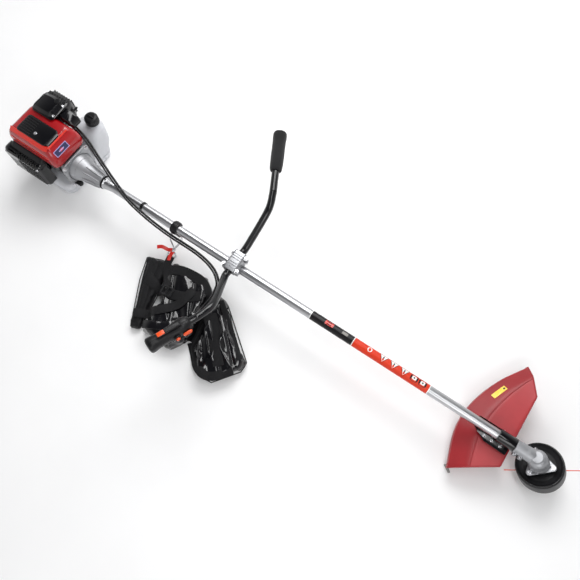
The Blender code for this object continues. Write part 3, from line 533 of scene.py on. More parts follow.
def make_shaft():
    """The drawn tube, its printed label, and the flared collar where it leaves the clutch housing."""
    back, front = -TUBE_BACK, TUBE_HIGH.x - MACHINE.translation.x
    bore = 0.0115
    edge = 0.0003
    profile = [
        (bore, back), (TUBE_RADIUS - edge, back), (TUBE_RADIUS, back + edge), (TUBE_RADIUS, front - edge),
        (TUBE_RADIUS - edge, front), (bore, front),
    ]
    show(turned("shaft", profile, 96), "drawn_aluminium", "shaft_tube", matrix=along_shaft())
    flare = [
        (TUBE_RADIUS + 0.0001, 0.006), (0.0196, 0.006), (0.02, 0.007), (0.0188, 0.009),
        (0.0176, 0.0105), (0.0172, 0.0145), (0.016, 0.02), (0.0136, 0.036), (TUBE_RADIUS + 0.0001, 0.038),
    ]
    show(turned("shaft_flare", flare, 64), "drawn_aluminium", matrix=along_shaft())
    ring = rounded([
        (0.0134, 0.0006), (0.0205, 0.0006), (0.0217, 0.0018), (0.0217, 0.0042), (0.0205, 0.0057),
        (0.0134, 0.0057),
    ], 0.0008)
    show(turned("damper_ring_turned", ring, 64), "soft_rubber", "damper_ring", matrix=along_shaft())


def sleeve(name, start, end, look, first=0.0, last=360.0, lift=0.0002):
    """A printed film on the tube between two stations and two angles. Angle 90 is the top and angle 0
    the operator's left."""
    whole = last - first >= 360
    steps = max(int((last - first) / 5), 2)
    bm = bmesh.new()
    rings = []
    for station in (start, end):
        rings.append([
            bm.verts.new(((TUBE_RADIUS + lift) * math.cos(math.radians(first + (last - first) * i / steps)),
                          (TUBE_RADIUS + lift) * math.sin(math.radians(first + (last - first) * i / steps)),
                          station))
            for i in range(steps if whole else steps + 1)
        ])
    count = len(rings[0])
    for i in range(count if whole else count - 1):
        j = (i + 1) % count
        bm.faces.new((rings[0][i], rings[0][j], rings[1][j], rings[1][i]))
    bmesh.ops.recalc_face_normals(bm, faces=bm.faces)
    show(mesh_object(name, bm), look, slot="black_plastic", matrix=along_shaft())


def emblem(name, station, outline, look, lift, turn):
    """A flat printed shape wrapped on the tube. Its local X runs round the tube and its Y along it."""
    bm = bmesh.new()
    verts = []
    for around, along in outline:
        angle = math.radians(turn) + around / TUBE_RADIUS
        radius = TUBE_RADIUS + lift
        verts.append(bm.verts.new((radius * math.cos(angle), radius * math.sin(angle), station + along)))
    middle = sum((v.co for v in verts), Vector()) / len(verts)
    reach = Vector((middle.x, middle.y, 0))
    middle += reach.normalized() * (TUBE_RADIUS + lift - reach.length)
    centre = bm.verts.new(middle)
    for a, b in zip(verts, verts[1:] + verts[:1]):
        bm.faces.new((a, b, centre))
    bmesh.ops.recalc_face_normals(bm, faces=bm.faces)
    show(mesh_object(name, bm), look, slot="black_plastic", matrix=along_shaft())


def subdivided(outline, pitch):
    """An outline with extra points, so that it can follow a curved surface."""
    out = []
    for start, end in zip(outline, outline[1:] + outline[:1]):
        span = math.dist(start, end)
        steps = max(int(span / pitch), 1)
        out += [(start[0] + (end[0] - start[0]) * i / steps, start[1] + (end[1] - start[1]) * i / steps)
                for i in range(steps)]
    return out


def make_label():
    """A black length with a small red block, then an orange one with plain white shapes, no lettering."""
    label_turn = 78
    sleeve("label_dark", 0.7425, 0.879, "label_black")
    sleeve("label_bright", 0.88, 1.11, "label_orange")
    for name, station in (("start", 0.7425), ("middle", 0.8775), ("end", 1.109)):
        sleeve(f"label_line_{name}", station, station + 0.0022, "label_white", lift=0.0004)
    block_outline = subdivided(rounded_rectangle((-0.006, -0.013), (0.006, 0.013), 0.001, 2), 0.002)
    emblem("label_block", 0.8, block_outline, "label_red", 0.0005, label_turn)
    bar = subdivided([(-0.0042, -0.009), (0.0042, -0.009), (0.0042, 0.009), (-0.0042, 0.009)], 0.002)
    emblem("label_bar", 0.85, bar, "dark_steel", 0.0005, label_turn)
    disc = circle(0.0068, 20)
    emblem("label_disc", 0.928, disc, "label_white", 0.0005, label_turn)
    emblem("label_disc_middle", 0.928, circle(0.004, 16), "label_orange", 0.0007, label_turn)
    for i, station in enumerate((0.97, 1.002, 1.034)):
        triangle = [(-0.011, -0.0135), (-0.011, 0.0135), (0.014, 0.0012), (0.014, -0.0012)]
        point = [(-0.0085, -0.0115), (-0.0085, 0.0115), (0.0105, 0.0)]
        emblem(f"label_wedge_{i + 1}", station, subdivided(triangle, 0.002), "label_black", 0.0004,
               label_turn)
        emblem(f"label_triangle_{i + 1}", station, subdivided(point, 0.002), "label_white", 0.0006,
               label_turn)
        drop = [(-0.002 + 0.0034 * x, 0.0018 * y) for x, y in circle(1, 12)]
        emblem(f"label_drop_{i + 1}", station, drop, "label_black", 0.0008, label_turn)
    for i, station in enumerate((1.064, 1.089)):
        outline = rounded_rectangle((-0.0095, -0.011), (0.0095, 0.011), 0.006, 4)
        inner = rounded_rectangle((-0.0052, -0.0064), (0.0052, 0.0064), 0.0036, 4)
        emblem(f"label_round_{i + 1}", station, subdivided(outline, 0.003), "label_black", 0.0005,
               label_turn)
        emblem(f"label_mark_{i + 1}", station, subdivided(inner, 0.003), "label_white", 0.0007, label_turn)
        emblem(f"label_dot_{i + 1}", station, circle(0.0022, 12), "label_black", 0.0009, label_turn)


# Engine


def make_clutch_housing():
    """The cone on the shaft, with long ribs, its square flange and the screws that hold it."""
    outer = [
        (0.0215, -0.0002), (0.0228, -0.008), (0.024, -0.022), (0.0258, -0.036), (0.0292, -0.052),
        (0.033, -0.064), (0.0368, -0.075), (0.04, -0.085), (0.0436, -0.096), (0.044, -0.1014),
    ]
    inner = [(0.04, -0.1014), (0.0385, -0.08), (0.028, -0.062), (0.017, -0.0545), (0.0134, -0.052),
             (0.0134, -0.0002)]
    show(turned("clutch_cone", outer + inner, 96), "cast_aluminium", "clutch_housing", matrix=along_shaft())
    ribs = 10
    for rib in range(ribs):
        angle = 2 * math.pi * (rib + 0.5) / ribs
        out = Vector((0, math.cos(angle), math.sin(angle)))
        side = Vector((0, -math.sin(angle), math.cos(angle)))
        rings = []
        for x, foot, top, half in ((-0.003, 0.0205, 0.024, 0.001), (-0.02, 0.0225, 0.0274, 0.0016),
                                   (-0.04, 0.025, 0.03, 0.0018), (-0.058, 0.03, 0.0326, 0.0014)):
            section = ((foot, -half * 1.5), (top - 0.0008, -half), (top, -half * 0.4), (top, half * 0.4),
                       (top - 0.0008, half), (foot, half * 1.5))
            rings.append([Vector((x, 0, 0)) + out * r + side * s for r, s in section])
        show(loft(f"cone_rib_{rib + 1}", rings), "cast_aluminium")
    outline = rounded_rectangle((-0.044, -0.044), (0.044, 0.05), 0.012)
    flange = plate("fan_flange", [outline, circle(0.04, 64)], 0.0094, 0.0012)
    show(flange, "bright_aluminium", "fan_housing", slot="cast_aluminium", matrix=along_shaft(-0.1066))
    rim = plate("housing_rim", [rounded_rectangle((-0.053, -0.044), (0.053, 0.053), 0.014),
                                circle(0.0446, 64)], 0.006, 0.0012)
    show(rim, "cast_aluminium", matrix=along_shaft(-0.0984))
    for i, (y, z) in enumerate(((-0.0465, -0.037), (0.0465, -0.037), (0.0465, 0.046), (-0.0465, 0.046))):
        bolt(f"rim_screw_{i + 1}", facing((1, 0, 0), (-0.0955, y, z)), 0.004, 0.0056)
    foot = turned("tank_mount",
                  rounded([(0, 0), (0.0086, 0), (0.0092, 0.005), (0.008, 0.02), (0.0052, 0.023),
                           (0, 0.023)], 0.001), 32)
    show(foot, "soft_rubber", matrix=facing((1, 0, 0), (-0.103, -0.033, -0.044)))


def ring_at(low_x, high_x, low_y, high_y, radius, z):
    return [(x, y, z) for x, y in rounded_rectangle((low_x, low_y), (high_x, high_y), radius)]


def make_top_cover():
    """The red cover: a bright border round its top, a deep red nose with a painted highlight along its
    edge, a black plate and a sticker.
    """
    rings = [
        ring_at(-0.288, -0.101, -0.06, 0.06, 0.016, 0.0585),
        ring_at(-0.2882, -0.1012, -0.0602, 0.06, 0.016, 0.064),
        ring_at(-0.2882, -0.1018, -0.0602, 0.06, 0.016, 0.076),
        ring_at(-0.287, -0.1042, -0.0592, 0.0592, 0.016, 0.085),
        ring_at(-0.283, -0.109, -0.0562, 0.0562, 0.016, 0.098),
        ring_at(-0.2765, -0.1162, -0.0526, 0.0526, 0.015, 0.1068),
        ring_at(-0.27, -0.1228, -0.0488, 0.0488, 0.014, 0.1134),
        ring_at(-0.264, -0.129, -0.0448, 0.0448, 0.013, 0.1186),
        ring_at(-0.2615, -0.1315, -0.0425, 0.0425, 0.012, 0.1198),
    ]
    cover = loft("top_cover_shell", rings, close_low=False)
    walled(cover)
    show(cover, "cover_red", "top_cover", sharp=24)
    edge = [(-0.266, -0.044, 0.118), (-0.256, -0.044, 0.12),
            (-0.138, -0.044, 0.12), (-0.127, -0.04, 0.1186)]
    for name, shift in (("top", 0.0), ("shoulder", 0.0052)):
        lip = ribbon(f"cover_strip_{name}", [Vector((x, y - shift, z - shift * 0.9)) for x, y, z in edge],
                     [Vector((0, -0.66, 0.75))] * len(edge), 0.0086, 0.0024)
        show(lip, "strip_red", sharp=30)
    # A bright red strip along the nose's edge between the top and the front slope: a painted highlight of
    # that edge.
    nose = ribbon("nose_painted_highlight", [Vector((-0.1258, y, 0.1178)) for y in (-0.04, -0.015, 0.015, 0.038)],
                  [Vector((0.7, 0, 0.7))] * 4, 0.005, 0.002)
    show(nose, "strip_red", sharp=30)
    for name, z, reach in (("high", 0.0905, 0.058), ("low", 0.07, 0.0604)):
        rail = block(f"cover_rail_{name}", (0.15, 0.003, 0.0034), 0.0012)
        show(rail, "strip_red" if name == "high" else "cover_red", slot="red_plastic",
             matrix=moved(-0.196, -reach, z))

    centre = Vector((-0.19, -0.012))
    half = Vector((0.055, 0.03))
    plate_rings = []
    for inset, z in ((0.0, 0.1202), (0.0, 0.1246), (0.0012, 0.1262), (0.004, 0.127)):
        corner = half - Vector((inset, inset))
        plate_rings.append([(x, y, z)
                            for x, y in rounded_rectangle(centre - corner, centre + corner, 0.009)])
    show(loft("top_plate", plate_rings), "gloss_black", "cover_insert", sharp=30)
    apron = loft("top_apron", [
        [(-0.142, y, z) for y, z in ((-0.038, 0.118), (-0.038, 0.1258), (0.014, 0.1258), (0.014, 0.118))],
        [(-0.131, y, z) for y, z in ((-0.034, 0.116), (-0.034, 0.1226), (0.01, 0.1226), (0.01, 0.116))],
        [(-0.129, y, z) for y, z in ((-0.03, 0.115), (-0.03, 0.1208), (0.006, 0.1208), (0.006, 0.115))],
    ])
    show(apron, "gloss_black", sharp=30)
    ridges = 7
    for ridge in range(ridges):
        y = -0.036 + ridge * 0.0078
        bar = block(f"top_ridge_{ridge + 1}", (0.044, 0.0046, 0.0022), 0.0009)
        show(bar, "satin_black", matrix=moved(-0.218, y, 0.1274))
    bolt("top_screw", facing((0, 0, 1), (-0.184, -0.024, 0.1268)), 0.0034, 0.003)
    slope = Vector((0.82, 0, 0.57)).normalized()
    sticker_place = facing(slope, (-0.1086, -0.014, 0.099))
    for name, half_long, half_wide, look, up in (
        ("sticker_rim", 0.025, 0.0095, "sticker_rim", 0.0),
        ("sticker_field", 0.0232, 0.0079, "sticker_blue", 0.0004),
        ("sticker_bar", 0.006, 0.0034, "label_red", 0.0008),
        ("sticker_dash", 0.01, 0.0012, "sticker_rim", 0.001),
    ):
        film = plate(name,
                     [rounded_rectangle((-half_long, -half_wide), (half_long, half_wide), 0.001, 2)],
                     0.0006)
        show(film, look, slot="red_plastic", matrix=sticker_place @ Matrix.Translation((0, 0, up)))


def make_air_filter():
    """The faceted black filter housing at the left, with a ribbed rear edge and a knob."""
    def section(low, high, radius, y):
        return [(x, y, z) for x, z in rounded_rectangle(low, high, radius, 4)]

    shell_rings = [
        section((-0.26, 0.052), (-0.176, 0.124), 0.01, 0.0762),
        section((-0.2608, 0.0514), (-0.1752, 0.1246), 0.012, 0.082),
        section((-0.2608, 0.0514), (-0.1752, 0.1246), 0.012, 0.104),
        section((-0.258, 0.0536), (-0.1778, 0.1226), 0.012, 0.112),
        section((-0.25, 0.06), (-0.186, 0.116), 0.012, 0.1226),
        section((-0.242, 0.066), (-0.194, 0.11), 0.01, 0.124),
    ]
    cover = loft("filter_cover", shell_rings, close_low=False)
    walled(cover)
    show(cover, "gloss_black", "air_filter_cover", sharp=24)
    lid_rings = []
    for inset, z in ((0.0, 0.1236), (0.0, 0.1262), (0.003, 0.128)):
        lid_rings.append([(x, y, z) for x, y in rounded_rectangle(
            (-0.256 + inset, 0.033 + inset), (-0.174 - inset, 0.106 - inset), 0.012, 4)])
    show(loft("filter_lid", lid_rings), "gloss_black", sharp=30)
    hood_rings = []
    for x, half, top in ((-0.254, 0.026, 0.129), (-0.248, 0.031, 0.137), (-0.218, 0.033, 0.141),
                         (-0.19, 0.03, 0.137), (-0.178, 0.022, 0.129)):
        hood_rings.append([(x, 0.068 + y, z) for y, z in (
            (-half, 0.125), (-half, top - 0.007), (-half * 0.72, top), (half * 0.66, top),
            (half, top - 0.009), (half, 0.125))])
    show(loft("filter_hood", hood_rings), "gloss_black", sharp=20)
    ribs = 8
    for rib in range(ribs):
        fin = block(f"filter_rib_{rib + 1}", (0.0022, 0.015, 0.05), 0.0008)
        show(fin, "satin_black", matrix=moved(-0.251 + rib * 0.0092, 0.118, 0.088))
        tooth = block(f"filter_tooth_{rib + 1}", (0.0022, 0.014, 0.004), 0.0008)
        show(tooth, "gloss_black", matrix=moved(-0.248 + rib * 0.0092, 0.104, 0.1262))
    knob = turned("filter_knob",
                  rounded([(0, 0), (0.0095, 0), (0.0095, 0.005), (0.0078, 0.0078), (0, 0.0078)], 0.0012),
                  32)
    show(knob, "satin_black", matrix=facing((0, 0, 1), (-0.196, 0.09, 0.133)))
    for i, y in enumerate((0.048, 0.088)):
        bolt(f"filter_screw_{i + 1}", facing((0.3, 0, 1), (-0.18, y, 0.1276)), 0.0026, 0.0024)
    shroud_rings = []
    for x, inset, top in ((-0.174, 0.0, 0.118), (-0.15, 0.0, 0.116), (-0.136, 0.001, 0.108),
                          (-0.13, 0.004, 0.103)):
        shroud_rings.append([(x, y, z) for y, z in rounded_rectangle(
            (0.061 + inset, 0.086 + inset), (0.096 - inset, top - inset), 0.006, 4)])
    shroud = loft("intake_shroud", shroud_rings)
    show(shroud, "gloss_black", sharp=30)
    neck_rings = []
    for y, inset in ((0.0606, 0.003), (0.0705, 0.0)):
        neck_rings.append([(x, y, z) for x, z in rounded_rectangle(
            (-0.226 + inset, 0.062 + inset), (-0.186 - inset, 0.092 - inset), 0.006, 4)])
    neck = loft("intake_neck", neck_rings)
    show(neck, "satin_black", sharp=30)


def make_muffler_side():
    """The slotted black guard over the muffler, the bridge behind it and its screws."""
    outline = rounded_rectangle((-0.298, -0.048), (-0.152, 0.0555), 0.018, 6)
    inner = rounded_rectangle((-0.289, -0.04), (-0.161, 0.048), 0.016, 6)
    rings = [[(x, y, z) for x, z in outline] for y in (-0.0612, -0.064, -0.084)]
    rings.append([(x, -0.089, z)
                  for x, z in rounded_rectangle((-0.2965, -0.0465), (-0.1535, 0.054), 0.018, 6)])
    rings.append([(x, -0.0957, z) for x, z in inner])
    guard = loft("exhaust_guard", rings, close_low=False)
    walled(guard)
    slots = 8
    cutters = []
    for slot in range(slots):
        cutter = block(f"slot_cutter_{slot + 1}", (0.0044, 0.03, 0.066), 0.0015)
        cutter.location = (-0.233 + slot * 0.009, -0.096, 0.002)
        cutters.append(cutter)
        cutter = block(f"shoulder_cutter_{slot + 1}", (0.0044, 0.027, 0.03), 0.0015)
        cutter.location = (-0.233 + slot * 0.009, -0.0855, 0.056)
        cutters.append(cutter)
    for row in range(4):
        cutter = block(f"row_cutter_{row + 1}", (0.036, 0.03, 0.005), 0.0015)
        cutter.location = (-0.263, -0.096, -0.02 + row * 0.012)
        cutters.append(cutter)
    for row in range(2):
        cutter = block(f"shoulder_row_{row + 1}", (0.032, 0.0044, 0.03), 0.0015)
        cutter.location = (-0.26, -0.088 + row * 0.01, 0.056)
        cutters.append(cutter)
    for cutter in cutters:
        bpy.context.scene.collection.objects.link(cutter)
        hole = guard.modifiers.new(cutter.name, "BOOLEAN")
        hole.operation = "DIFFERENCE"
        hole.object = cutter
    guard = as_mesh(guard)
    for cutter in cutters:
        bpy.data.objects.remove(cutter)
    show(guard, "gloss_black", "muffler_guard", sharp=30)
    bridge = loft("guard_bridge", [
        [(x, y, z) for x, z in rounded_rectangle((-0.28, -0.03), (-0.156, top), 0.01, 4)]
        for y, top in ((-0.06, 0.064), (-0.064, 0.064), (-0.076, 0.056), (-0.08, 0.048))
    ])
    show(bridge, "satin_black", sharp=30)
    for rib in range(slots + 1):
        rail = block(f"guard_rail_{rib + 1}", (0.0026, 0.004, 0.07), 0.001)
        show(rail, "gloss_black", matrix=moved(-0.2375 + rib * 0.009, -0.0955, 0.002))
    for i, (x, z) in enumerate(((-0.162, 0.043), (-0.162, -0.035), (-0.286, 0.042), (-0.286, -0.034))):
        bolt(f"guard_screw_{i + 1}", facing((0, -1, 0), (x, -0.093, z)), 0.003, 0.003)


def make_starter_detail():
    """Vents round the rope's guide on the starter housing's back, and the grip with its rope."""
    back = -0.2902
    vents = 12
    for vent in range(vents):
        angle = 2 * math.pi * vent / vents
        place = Matrix.Translation((back, 0, 0)) @ Matrix.Rotation(angle, 4, "X") @ Matrix.Translation(
            (-0.0008, 0.0, 0.028))
        fin = block(f"starter_fin_{vent + 1}", (0.0024, 0.003, 0.02), 0.0008)
        show(fin, "satin_black", matrix=MACHINE @ place)
    eyelet = [(0.0034, 0.0), (0.0072, 0.0), (0.0066, 0.0022), (0.0044, 0.003), (0.0034, 0.0022)]
    show(turned("rope_eyelet", eyelet, 32), "satin_black", matrix=facing((-1, 0, 0), (back + 0.0004, 0, 0)))
    grip_rings = []
    for x, half_y, half_z in ((-0.2922, 0.006, 0.0052), (-0.2942, 0.015, 0.0066), (-0.2975, 0.0178, 0.007),
                              (-0.3012, 0.0174, 0.0068), (-0.3038, 0.014, 0.0052)):
        grip_rings.append([(x, y, z) for y, z in rounded_rectangle((-half_y, -half_z), (half_y, half_z),
                                                                   half_z * 0.85, 5)])
    grip = loft("pull_grip", grip_rings)
    rope = tube("pull_rope", [(-0.298, 0, 0), (-0.27, 0, 0), (-0.238, 0, 0)], 0.0016, 3)
    show(grip, "satin_black", "starter_grip", body="starter_grip", sharp=50)
    show(rope, "line_nylon", body="starter_grip")


def make_tank_detail():
    """The smooth tank, its seam, and the ribbed cap."""
    def ring(low, high, radius, z):
        return [(x, y, z) for x, y in rounded_rectangle(low, high, radius, 8)]

    neck = (-0.15, 0.134)

    def neck_ring(radius, z):
        return [(neck[0] + x, neck[1] + y, z) for x, y in rounded_rectangle(
            (-radius, -radius), (radius, radius), radius * 0.999, 8)]

    rings = [
        ring((-0.248, -0.058), (-0.128, 0.124), 0.022, GROUND + 0.0002),
        ring((-0.2535, -0.0635), (-0.1225, 0.1295), 0.026, -0.1085),
        ring((-0.258, -0.068), (-0.118, 0.134), 0.028, -0.104),
        ring((-0.26, -0.07), (-0.116, 0.136), 0.028, -0.09),
        ring((-0.26, -0.07), (-0.116, 0.1364), 0.028, -0.08),
        ring((-0.257, -0.065), (-0.1165, 0.143), 0.026, -0.065),
        ring((-0.252, -0.054), (-0.117, 0.146), 0.024, -0.0612),
        ring((-0.24, 0.06), (-0.117, 0.15), 0.024, -0.0555),
        ring((-0.23, 0.07), (-0.1168, 0.153), 0.024, -0.035),
        ring((-0.221, 0.077), (-0.117, 0.1545), 0.024, -0.01),
        ring((-0.202, 0.09), (-0.1196, 0.1556), 0.022, 0.004),
        ring((-0.185, 0.102), (-0.122, 0.156), 0.022, 0.012),
        neck_ring(0.0182, 0.018),
        neck_ring(0.0165, 0.0215),
        neck_ring(0.016, 0.03),
    ]
    tank = loft("tank_shell", rings, close_high=False)
    walled(tank)
    show(tank, "tank", "fuel_tank", sharp=0)
    tank.data.shade_smooth()
    seam_line = [Vector((x, y, -0.085))
                 for x, y in rounded_rectangle((-0.2605, -0.0705), (-0.1155, 0.1366), 0.0285, 8)]
    seam = tube("tank_seam", [*seam_line, seam_line[0]], 0.0009, 2)
    show(seam, "tank")
    cap = rounded([
        (0, 0.052), (0.013, 0.052), (0.019, 0.05), (0.0205, 0.046), (0.0205, 0.0262), (0.0172, 0.0262),
        (0.0172, 0.0306), (0, 0.0306),
    ], 0.0012)
    upright = moved(*neck, 0)
    show(turned("tank_cap", cap, 64), "satin_black", "fuel_cap", body="fuel_cap", matrix=upright)
    ribs = 24
    for rib in range(ribs):
        turn = Matrix.Rotation(2 * math.pi * rib / ribs, 4, "Z")
        fin = block(f"cap_rib_{rib + 1}", (0.0012, 0.0022, 0.019), 0.0005, 2)
        show(fin, "satin_black", body="fuel_cap",
             matrix=upright @ turn @ Matrix.Translation((0.0206, 0, 0.0365)))
    bar = block("cap_bar", (0.028, 0.005, 0.004), 0.0012)
    show(bar, "satin_black", body="fuel_cap", matrix=upright @ Matrix.Translation((0, 0, 0.0532)))


# The throttle cable's route, its last bend eased where it comes up to the grip
CABLE_ROUTE = (
    (-0.164, 0.078, 0.074), (-0.145, 0.075, 0.072), (-0.095, 0.064, 0.064),
    (-0.03, 0.039, 0.048), (0.05, 0.009, 0.035), (0.12, -0.013, 0.026),
    (0.2, -0.024, 0.015), (0.272, -0.0262, 0.002), (0.375, -0.028, 0.004),
    (0.44, -0.042, 0.008), (0.48, -0.069, 0.018), (0.499, -0.1, 0.042),
    (0.512, -0.135, 0.07), (0.516, -0.17, 0.09), (0.517, -0.194, 0.0985),
)
CABLE_RADIUS = 0.0034


def make_cables():
    """The throttle cable and the switch wires beside it, held at both ends and by clips between."""
    end = on_side(BEND[-1] + OUTWARDS[-1] * (THROTTLE_START - 0.004), -1) - Vector((0, 0, 0.0155))
    route = [Vector(p) for p in (*CABLE_ROUTE, end)]
    main = tube("control_cable", smooth_route(route, 10), CABLE_RADIUS, 5)
    show(main, "cable_sheath", "throttle_cable", sharp=0)
    main.data.shade_smooth()
    beside = []
    for i, point in enumerate(route[1:-1]):
        ahead = (route[min(i + 2, len(route) - 1)] - route[i]).normalized()
        side = ahead.cross(Vector((0, 0, 1))).normalized()
        beside.append(point + side * 0.0066 + Vector((0, 0, -0.0008)))
    start = Vector((-0.164, 0.07, 0.07))
    wires = tube("switch_wires", smooth_route([start, *beside, end + Vector((0.006, 0, 0))], 10), 0.0028, 4)
    show(wires, "cable_sheath", sharp=0)
    wires.data.shade_smooth()
    band = rounded([(TUBE_RADIUS + 0.0002, -0.004), (0.015, -0.004), (0.015, 0.004),
                    (TUBE_RADIUS + 0.0002, 0.004)], 0.0008)
    show(turned("cable_band_1", band, 48), "satin_black", matrix=along_shaft(0.15))


# Carrying and steering

BEND = {
    1: Vector((HANDLE_X + 0.012, 0.165, HANDLE_Z + 0.085)),
    -1: Vector((HANDLE_X + 0.052, 0.1575, HANDLE_Z + 0.085)),
}
OUTWARDS = {1: Vector((-0.47, 0.88, 0.05)).normalized(), -1: Vector((-0.35, 0.88, 0.05)).normalized()}
BEND_REACH = 0.04
LEFT_GRIP_START = 0.108
THROTTLE_START = 0.064
BAR_RADIUS = 0.0105


def on_side(point, side):
    return Vector((point[0], side * point[1], point[2]))


def bar_route(side, reach):
    inner = Vector((HANDLE_X, 0.046, HANDLE_Z))
    bend, outwards = BEND[side], OUTWARDS[side]
    rise = (bend - inner).normalized()
    knots = [
        (HANDLE_X, 0.0005, HANDLE_Z), (HANDLE_X, 0.014, HANDLE_Z), (HANDLE_X, 0.034, HANDLE_Z), inner,
        inner + rise * 0.022 + Vector((0, 0.002, -0.002)), bend - rise * BEND_REACH,
        bend + (outwards - rise) * 0.009, bend + outwards * BEND_REACH, bend + outwards * 0.06,
        bend + outwards * reach,
    ]
    return smooth_route([on_side(knot, side) for knot in knots], 8)


def grip_matrix(side, start):
    """Local Z runs out along the straight end of an arm, local Y is up and local X is ahead."""
    out = on_side(OUTWARDS[side], side)
    up = (Vector((0, 0, 1)) - out * out.z).normalized()
    turn = Matrix((up.cross(out), up, out)).transposed().to_4x4()
    return moved(*on_side(BEND[side] + OUTWARDS[side] * start, side)) @ turn


def make_handlebar():
    """Both arms, the clamp that holds them, and the foam grip of the left hand."""
    for name, side, reach in (("left", 1, 0.222), ("right", -1, 0.178)):
        arm = tube(f"{name}_arm", bar_route(side, reach), BAR_RADIUS, 8)
        show(arm, "bar_paint", f"{name}_bar", sharp=50)
    foam = rounded([
        (BAR_RADIUS + 0.0004, -0.002), (0.015, -0.002), (0.0172, 0.004), (0.0182, 0.016),
        (0.0188, 0.042), (0.0186, 0.07), (0.019, 0.09), (0.0198, 0.106), (0.0192, 0.116),
        (0.016, 0.1196), (0, 0.1198), (0, 0.1152), (BAR_RADIUS + 0.0004, 0.1152),
    ], 0.003, 4)
    show(turned("foam_grip", foam, 64), "foam", "left_grip", matrix=grip_matrix(1, LEFT_GRIP_START),
         sharp=60)

    across = moved(HANDLE_X, 0, HANDLE_Z) @ Matrix(
        ((1, 0, 0, 0), (0, 0, -1, 0), (0, 1, 0, 0), (0, 0, 0, 1)))
    saddle = rounded_rectangle((-0.019, -0.0113), (0.019, 0.015), 0.006)
    cap = plate("clamp_saddle", [saddle, circle(BAR_RADIUS + 0.0004, 48)], 0.062, 0.0016)
    show(cap, "bright_aluminium", "handle_clamp_cap", matrix=across, sharp=30)
    base_outline = [(0.025, 0.003), (0.025, 0.018), (-0.025, 0.018), (-0.025, 0.003)]
    lower = arc(0.019, 192, 348, 28)
    base = plate("clamp_base", [base_outline + lower, circle(TUBE_RADIUS + 0.0004, 48)], 0.036, 0.0014)
    show(base, "bright_aluminium", "handle_clamp_base", matrix=along_shaft(HANDLE_X), sharp=30)
    for end in (-1, 1):
        for step in range(3):
            ridge = block(f"clamp_ridge_{'ab'[end > 0]}_{step + 1}", (0.032, 0.0016, 0.002), 0.0006)
            show(ridge, "bright_aluminium",
                 matrix=moved(HANDLE_X, end * (0.006 + 0.007 * step), HANDLE_Z + 0.0155))
    for i, (x, y) in enumerate(((-1, -1), (1, -1), (1, 1), (-1, 1))):
        ear = turned(f"clamp_ear_{i + 1}",
                     rounded([(0, 0), (0.0064, 0), (0.0064, 0.02), (0, 0.02)], 0.0012), 32)
        corner = (HANDLE_X + x * 0.0215, y * 0.0225, HANDLE_Z - 0.009)
        show(ear, "bright_aluminium", matrix=facing((0, 0, 1), corner))
        bolt(f"clamp_screw_{i + 1}", facing((0, 0, 1), (corner[0], corner[1], HANDLE_Z + 0.011)),
             0.0042, 0.0048)
        shank = turned(f"clamp_shank_{i + 1}", [(0, 0), (0.0026, 0), (0.0026, 0.017), (0, 0.017)], 20)
        show(shank, "zinc_steel", matrix=facing((0, 0, 1), (corner[0], corner[1], HANDLE_Z - 0.0255)))


def make_suspension():
    """The split band on the shaft with its screw, and its tab with the eye."""
    tab, outer, low = 0.009, 0.0185, -0.044
    start = math.degrees(math.asin(tab / outer))
    band = arc(outer, -90 + start, 270 - start, 44)
    outline = band + [(-tab, low + 0.004), (-tab + 0.003, low), (tab - 0.003, low), (tab, low + 0.004)]
    clamp = plate("carry_clamp",
                  [outline, circle(TUBE_RADIUS + 0.0004, 48), circle(0.0055, 32, (0, -0.033))], 0.02,
                  0.0012)
    show(clamp, "satin_black", "suspension_clamp", matrix=along_shaft(SUSPENSION_X), sharp=30)
    bolt("carry_screw", facing((0, -1, 0), (SUSPENSION_X, -0.009, -0.0225)), 0.0034, 0.004)
    rib = turned("carry_rib", rounded([(0.0182, -0.006), (0.02, -0.005), (0.02, 0.005), (0.0182, 0.006)],
                                      0.0005), 64)
    show(rib, "satin_black", matrix=along_shaft(SUSPENSION_X))


def make_starter_housing():
    """The housing behind the engine: square with round corners, drawn in to a hole for the rope."""
    centre = (-0.006, 0.003)

    def section(x, radius, share=1.0):
        ring = []
        for y, z in rounded_rectangle((-0.056, -0.05), (0.044, 0.056), radius, 8):
            ring.append((x, centre[0] + (y - centre[0]) * share, centre[1] + (z - centre[1]) * share))
        return ring

    def hole(x, radius):
        spots = [Vector((0, y, z)).normalized() * radius for _, y, z in section(x, 0.018)]
        return [(x, spot.y, spot.z) for spot in spots]

    rings = [section(-0.2006, 0.015), section(-0.206, 0.0165), section(-0.275, 0.0185),
             section(-0.2815, 0.019, 0.97), section(-0.288, 0.019, 0.88), section(-0.29, 0.019, 0.8),
             hole(-0.29, 0.03), hole(-0.29, 0.006)]
    housing = loft("starter_shell", rings, close_low=False, close_high=False)
    walled(housing, 0.0025)
    show(housing, "gloss_black", "starter_housing", sharp=32)
    for i, (y, z) in enumerate(((-0.048, -0.042), (0.036, -0.042), (0.036, 0.048), (-0.048, 0.048))):
        lug = turned(f"starter_lug_{i + 1}",
                     rounded([(0, 0), (0.0066, 0), (0.0066, 0.074), (0, 0.074)], 0.001), 32)
        show(lug, "gloss_black", matrix=facing((-1, 0, 0), (-0.206, y, z)))
        bolt(f"starter_screw_{i + 1}", facing((-1, 0, 0), (-0.2799, y, z)), 0.003, 0.003)
    for i in range(5):
        rib = block(f"housing_rib_{i + 1}", (0.06, 0.002, 0.0026), 0.0008)
        show(rib, "satin_black", matrix=moved(-0.24, 0.0445, -0.028 + 0.01 * i))


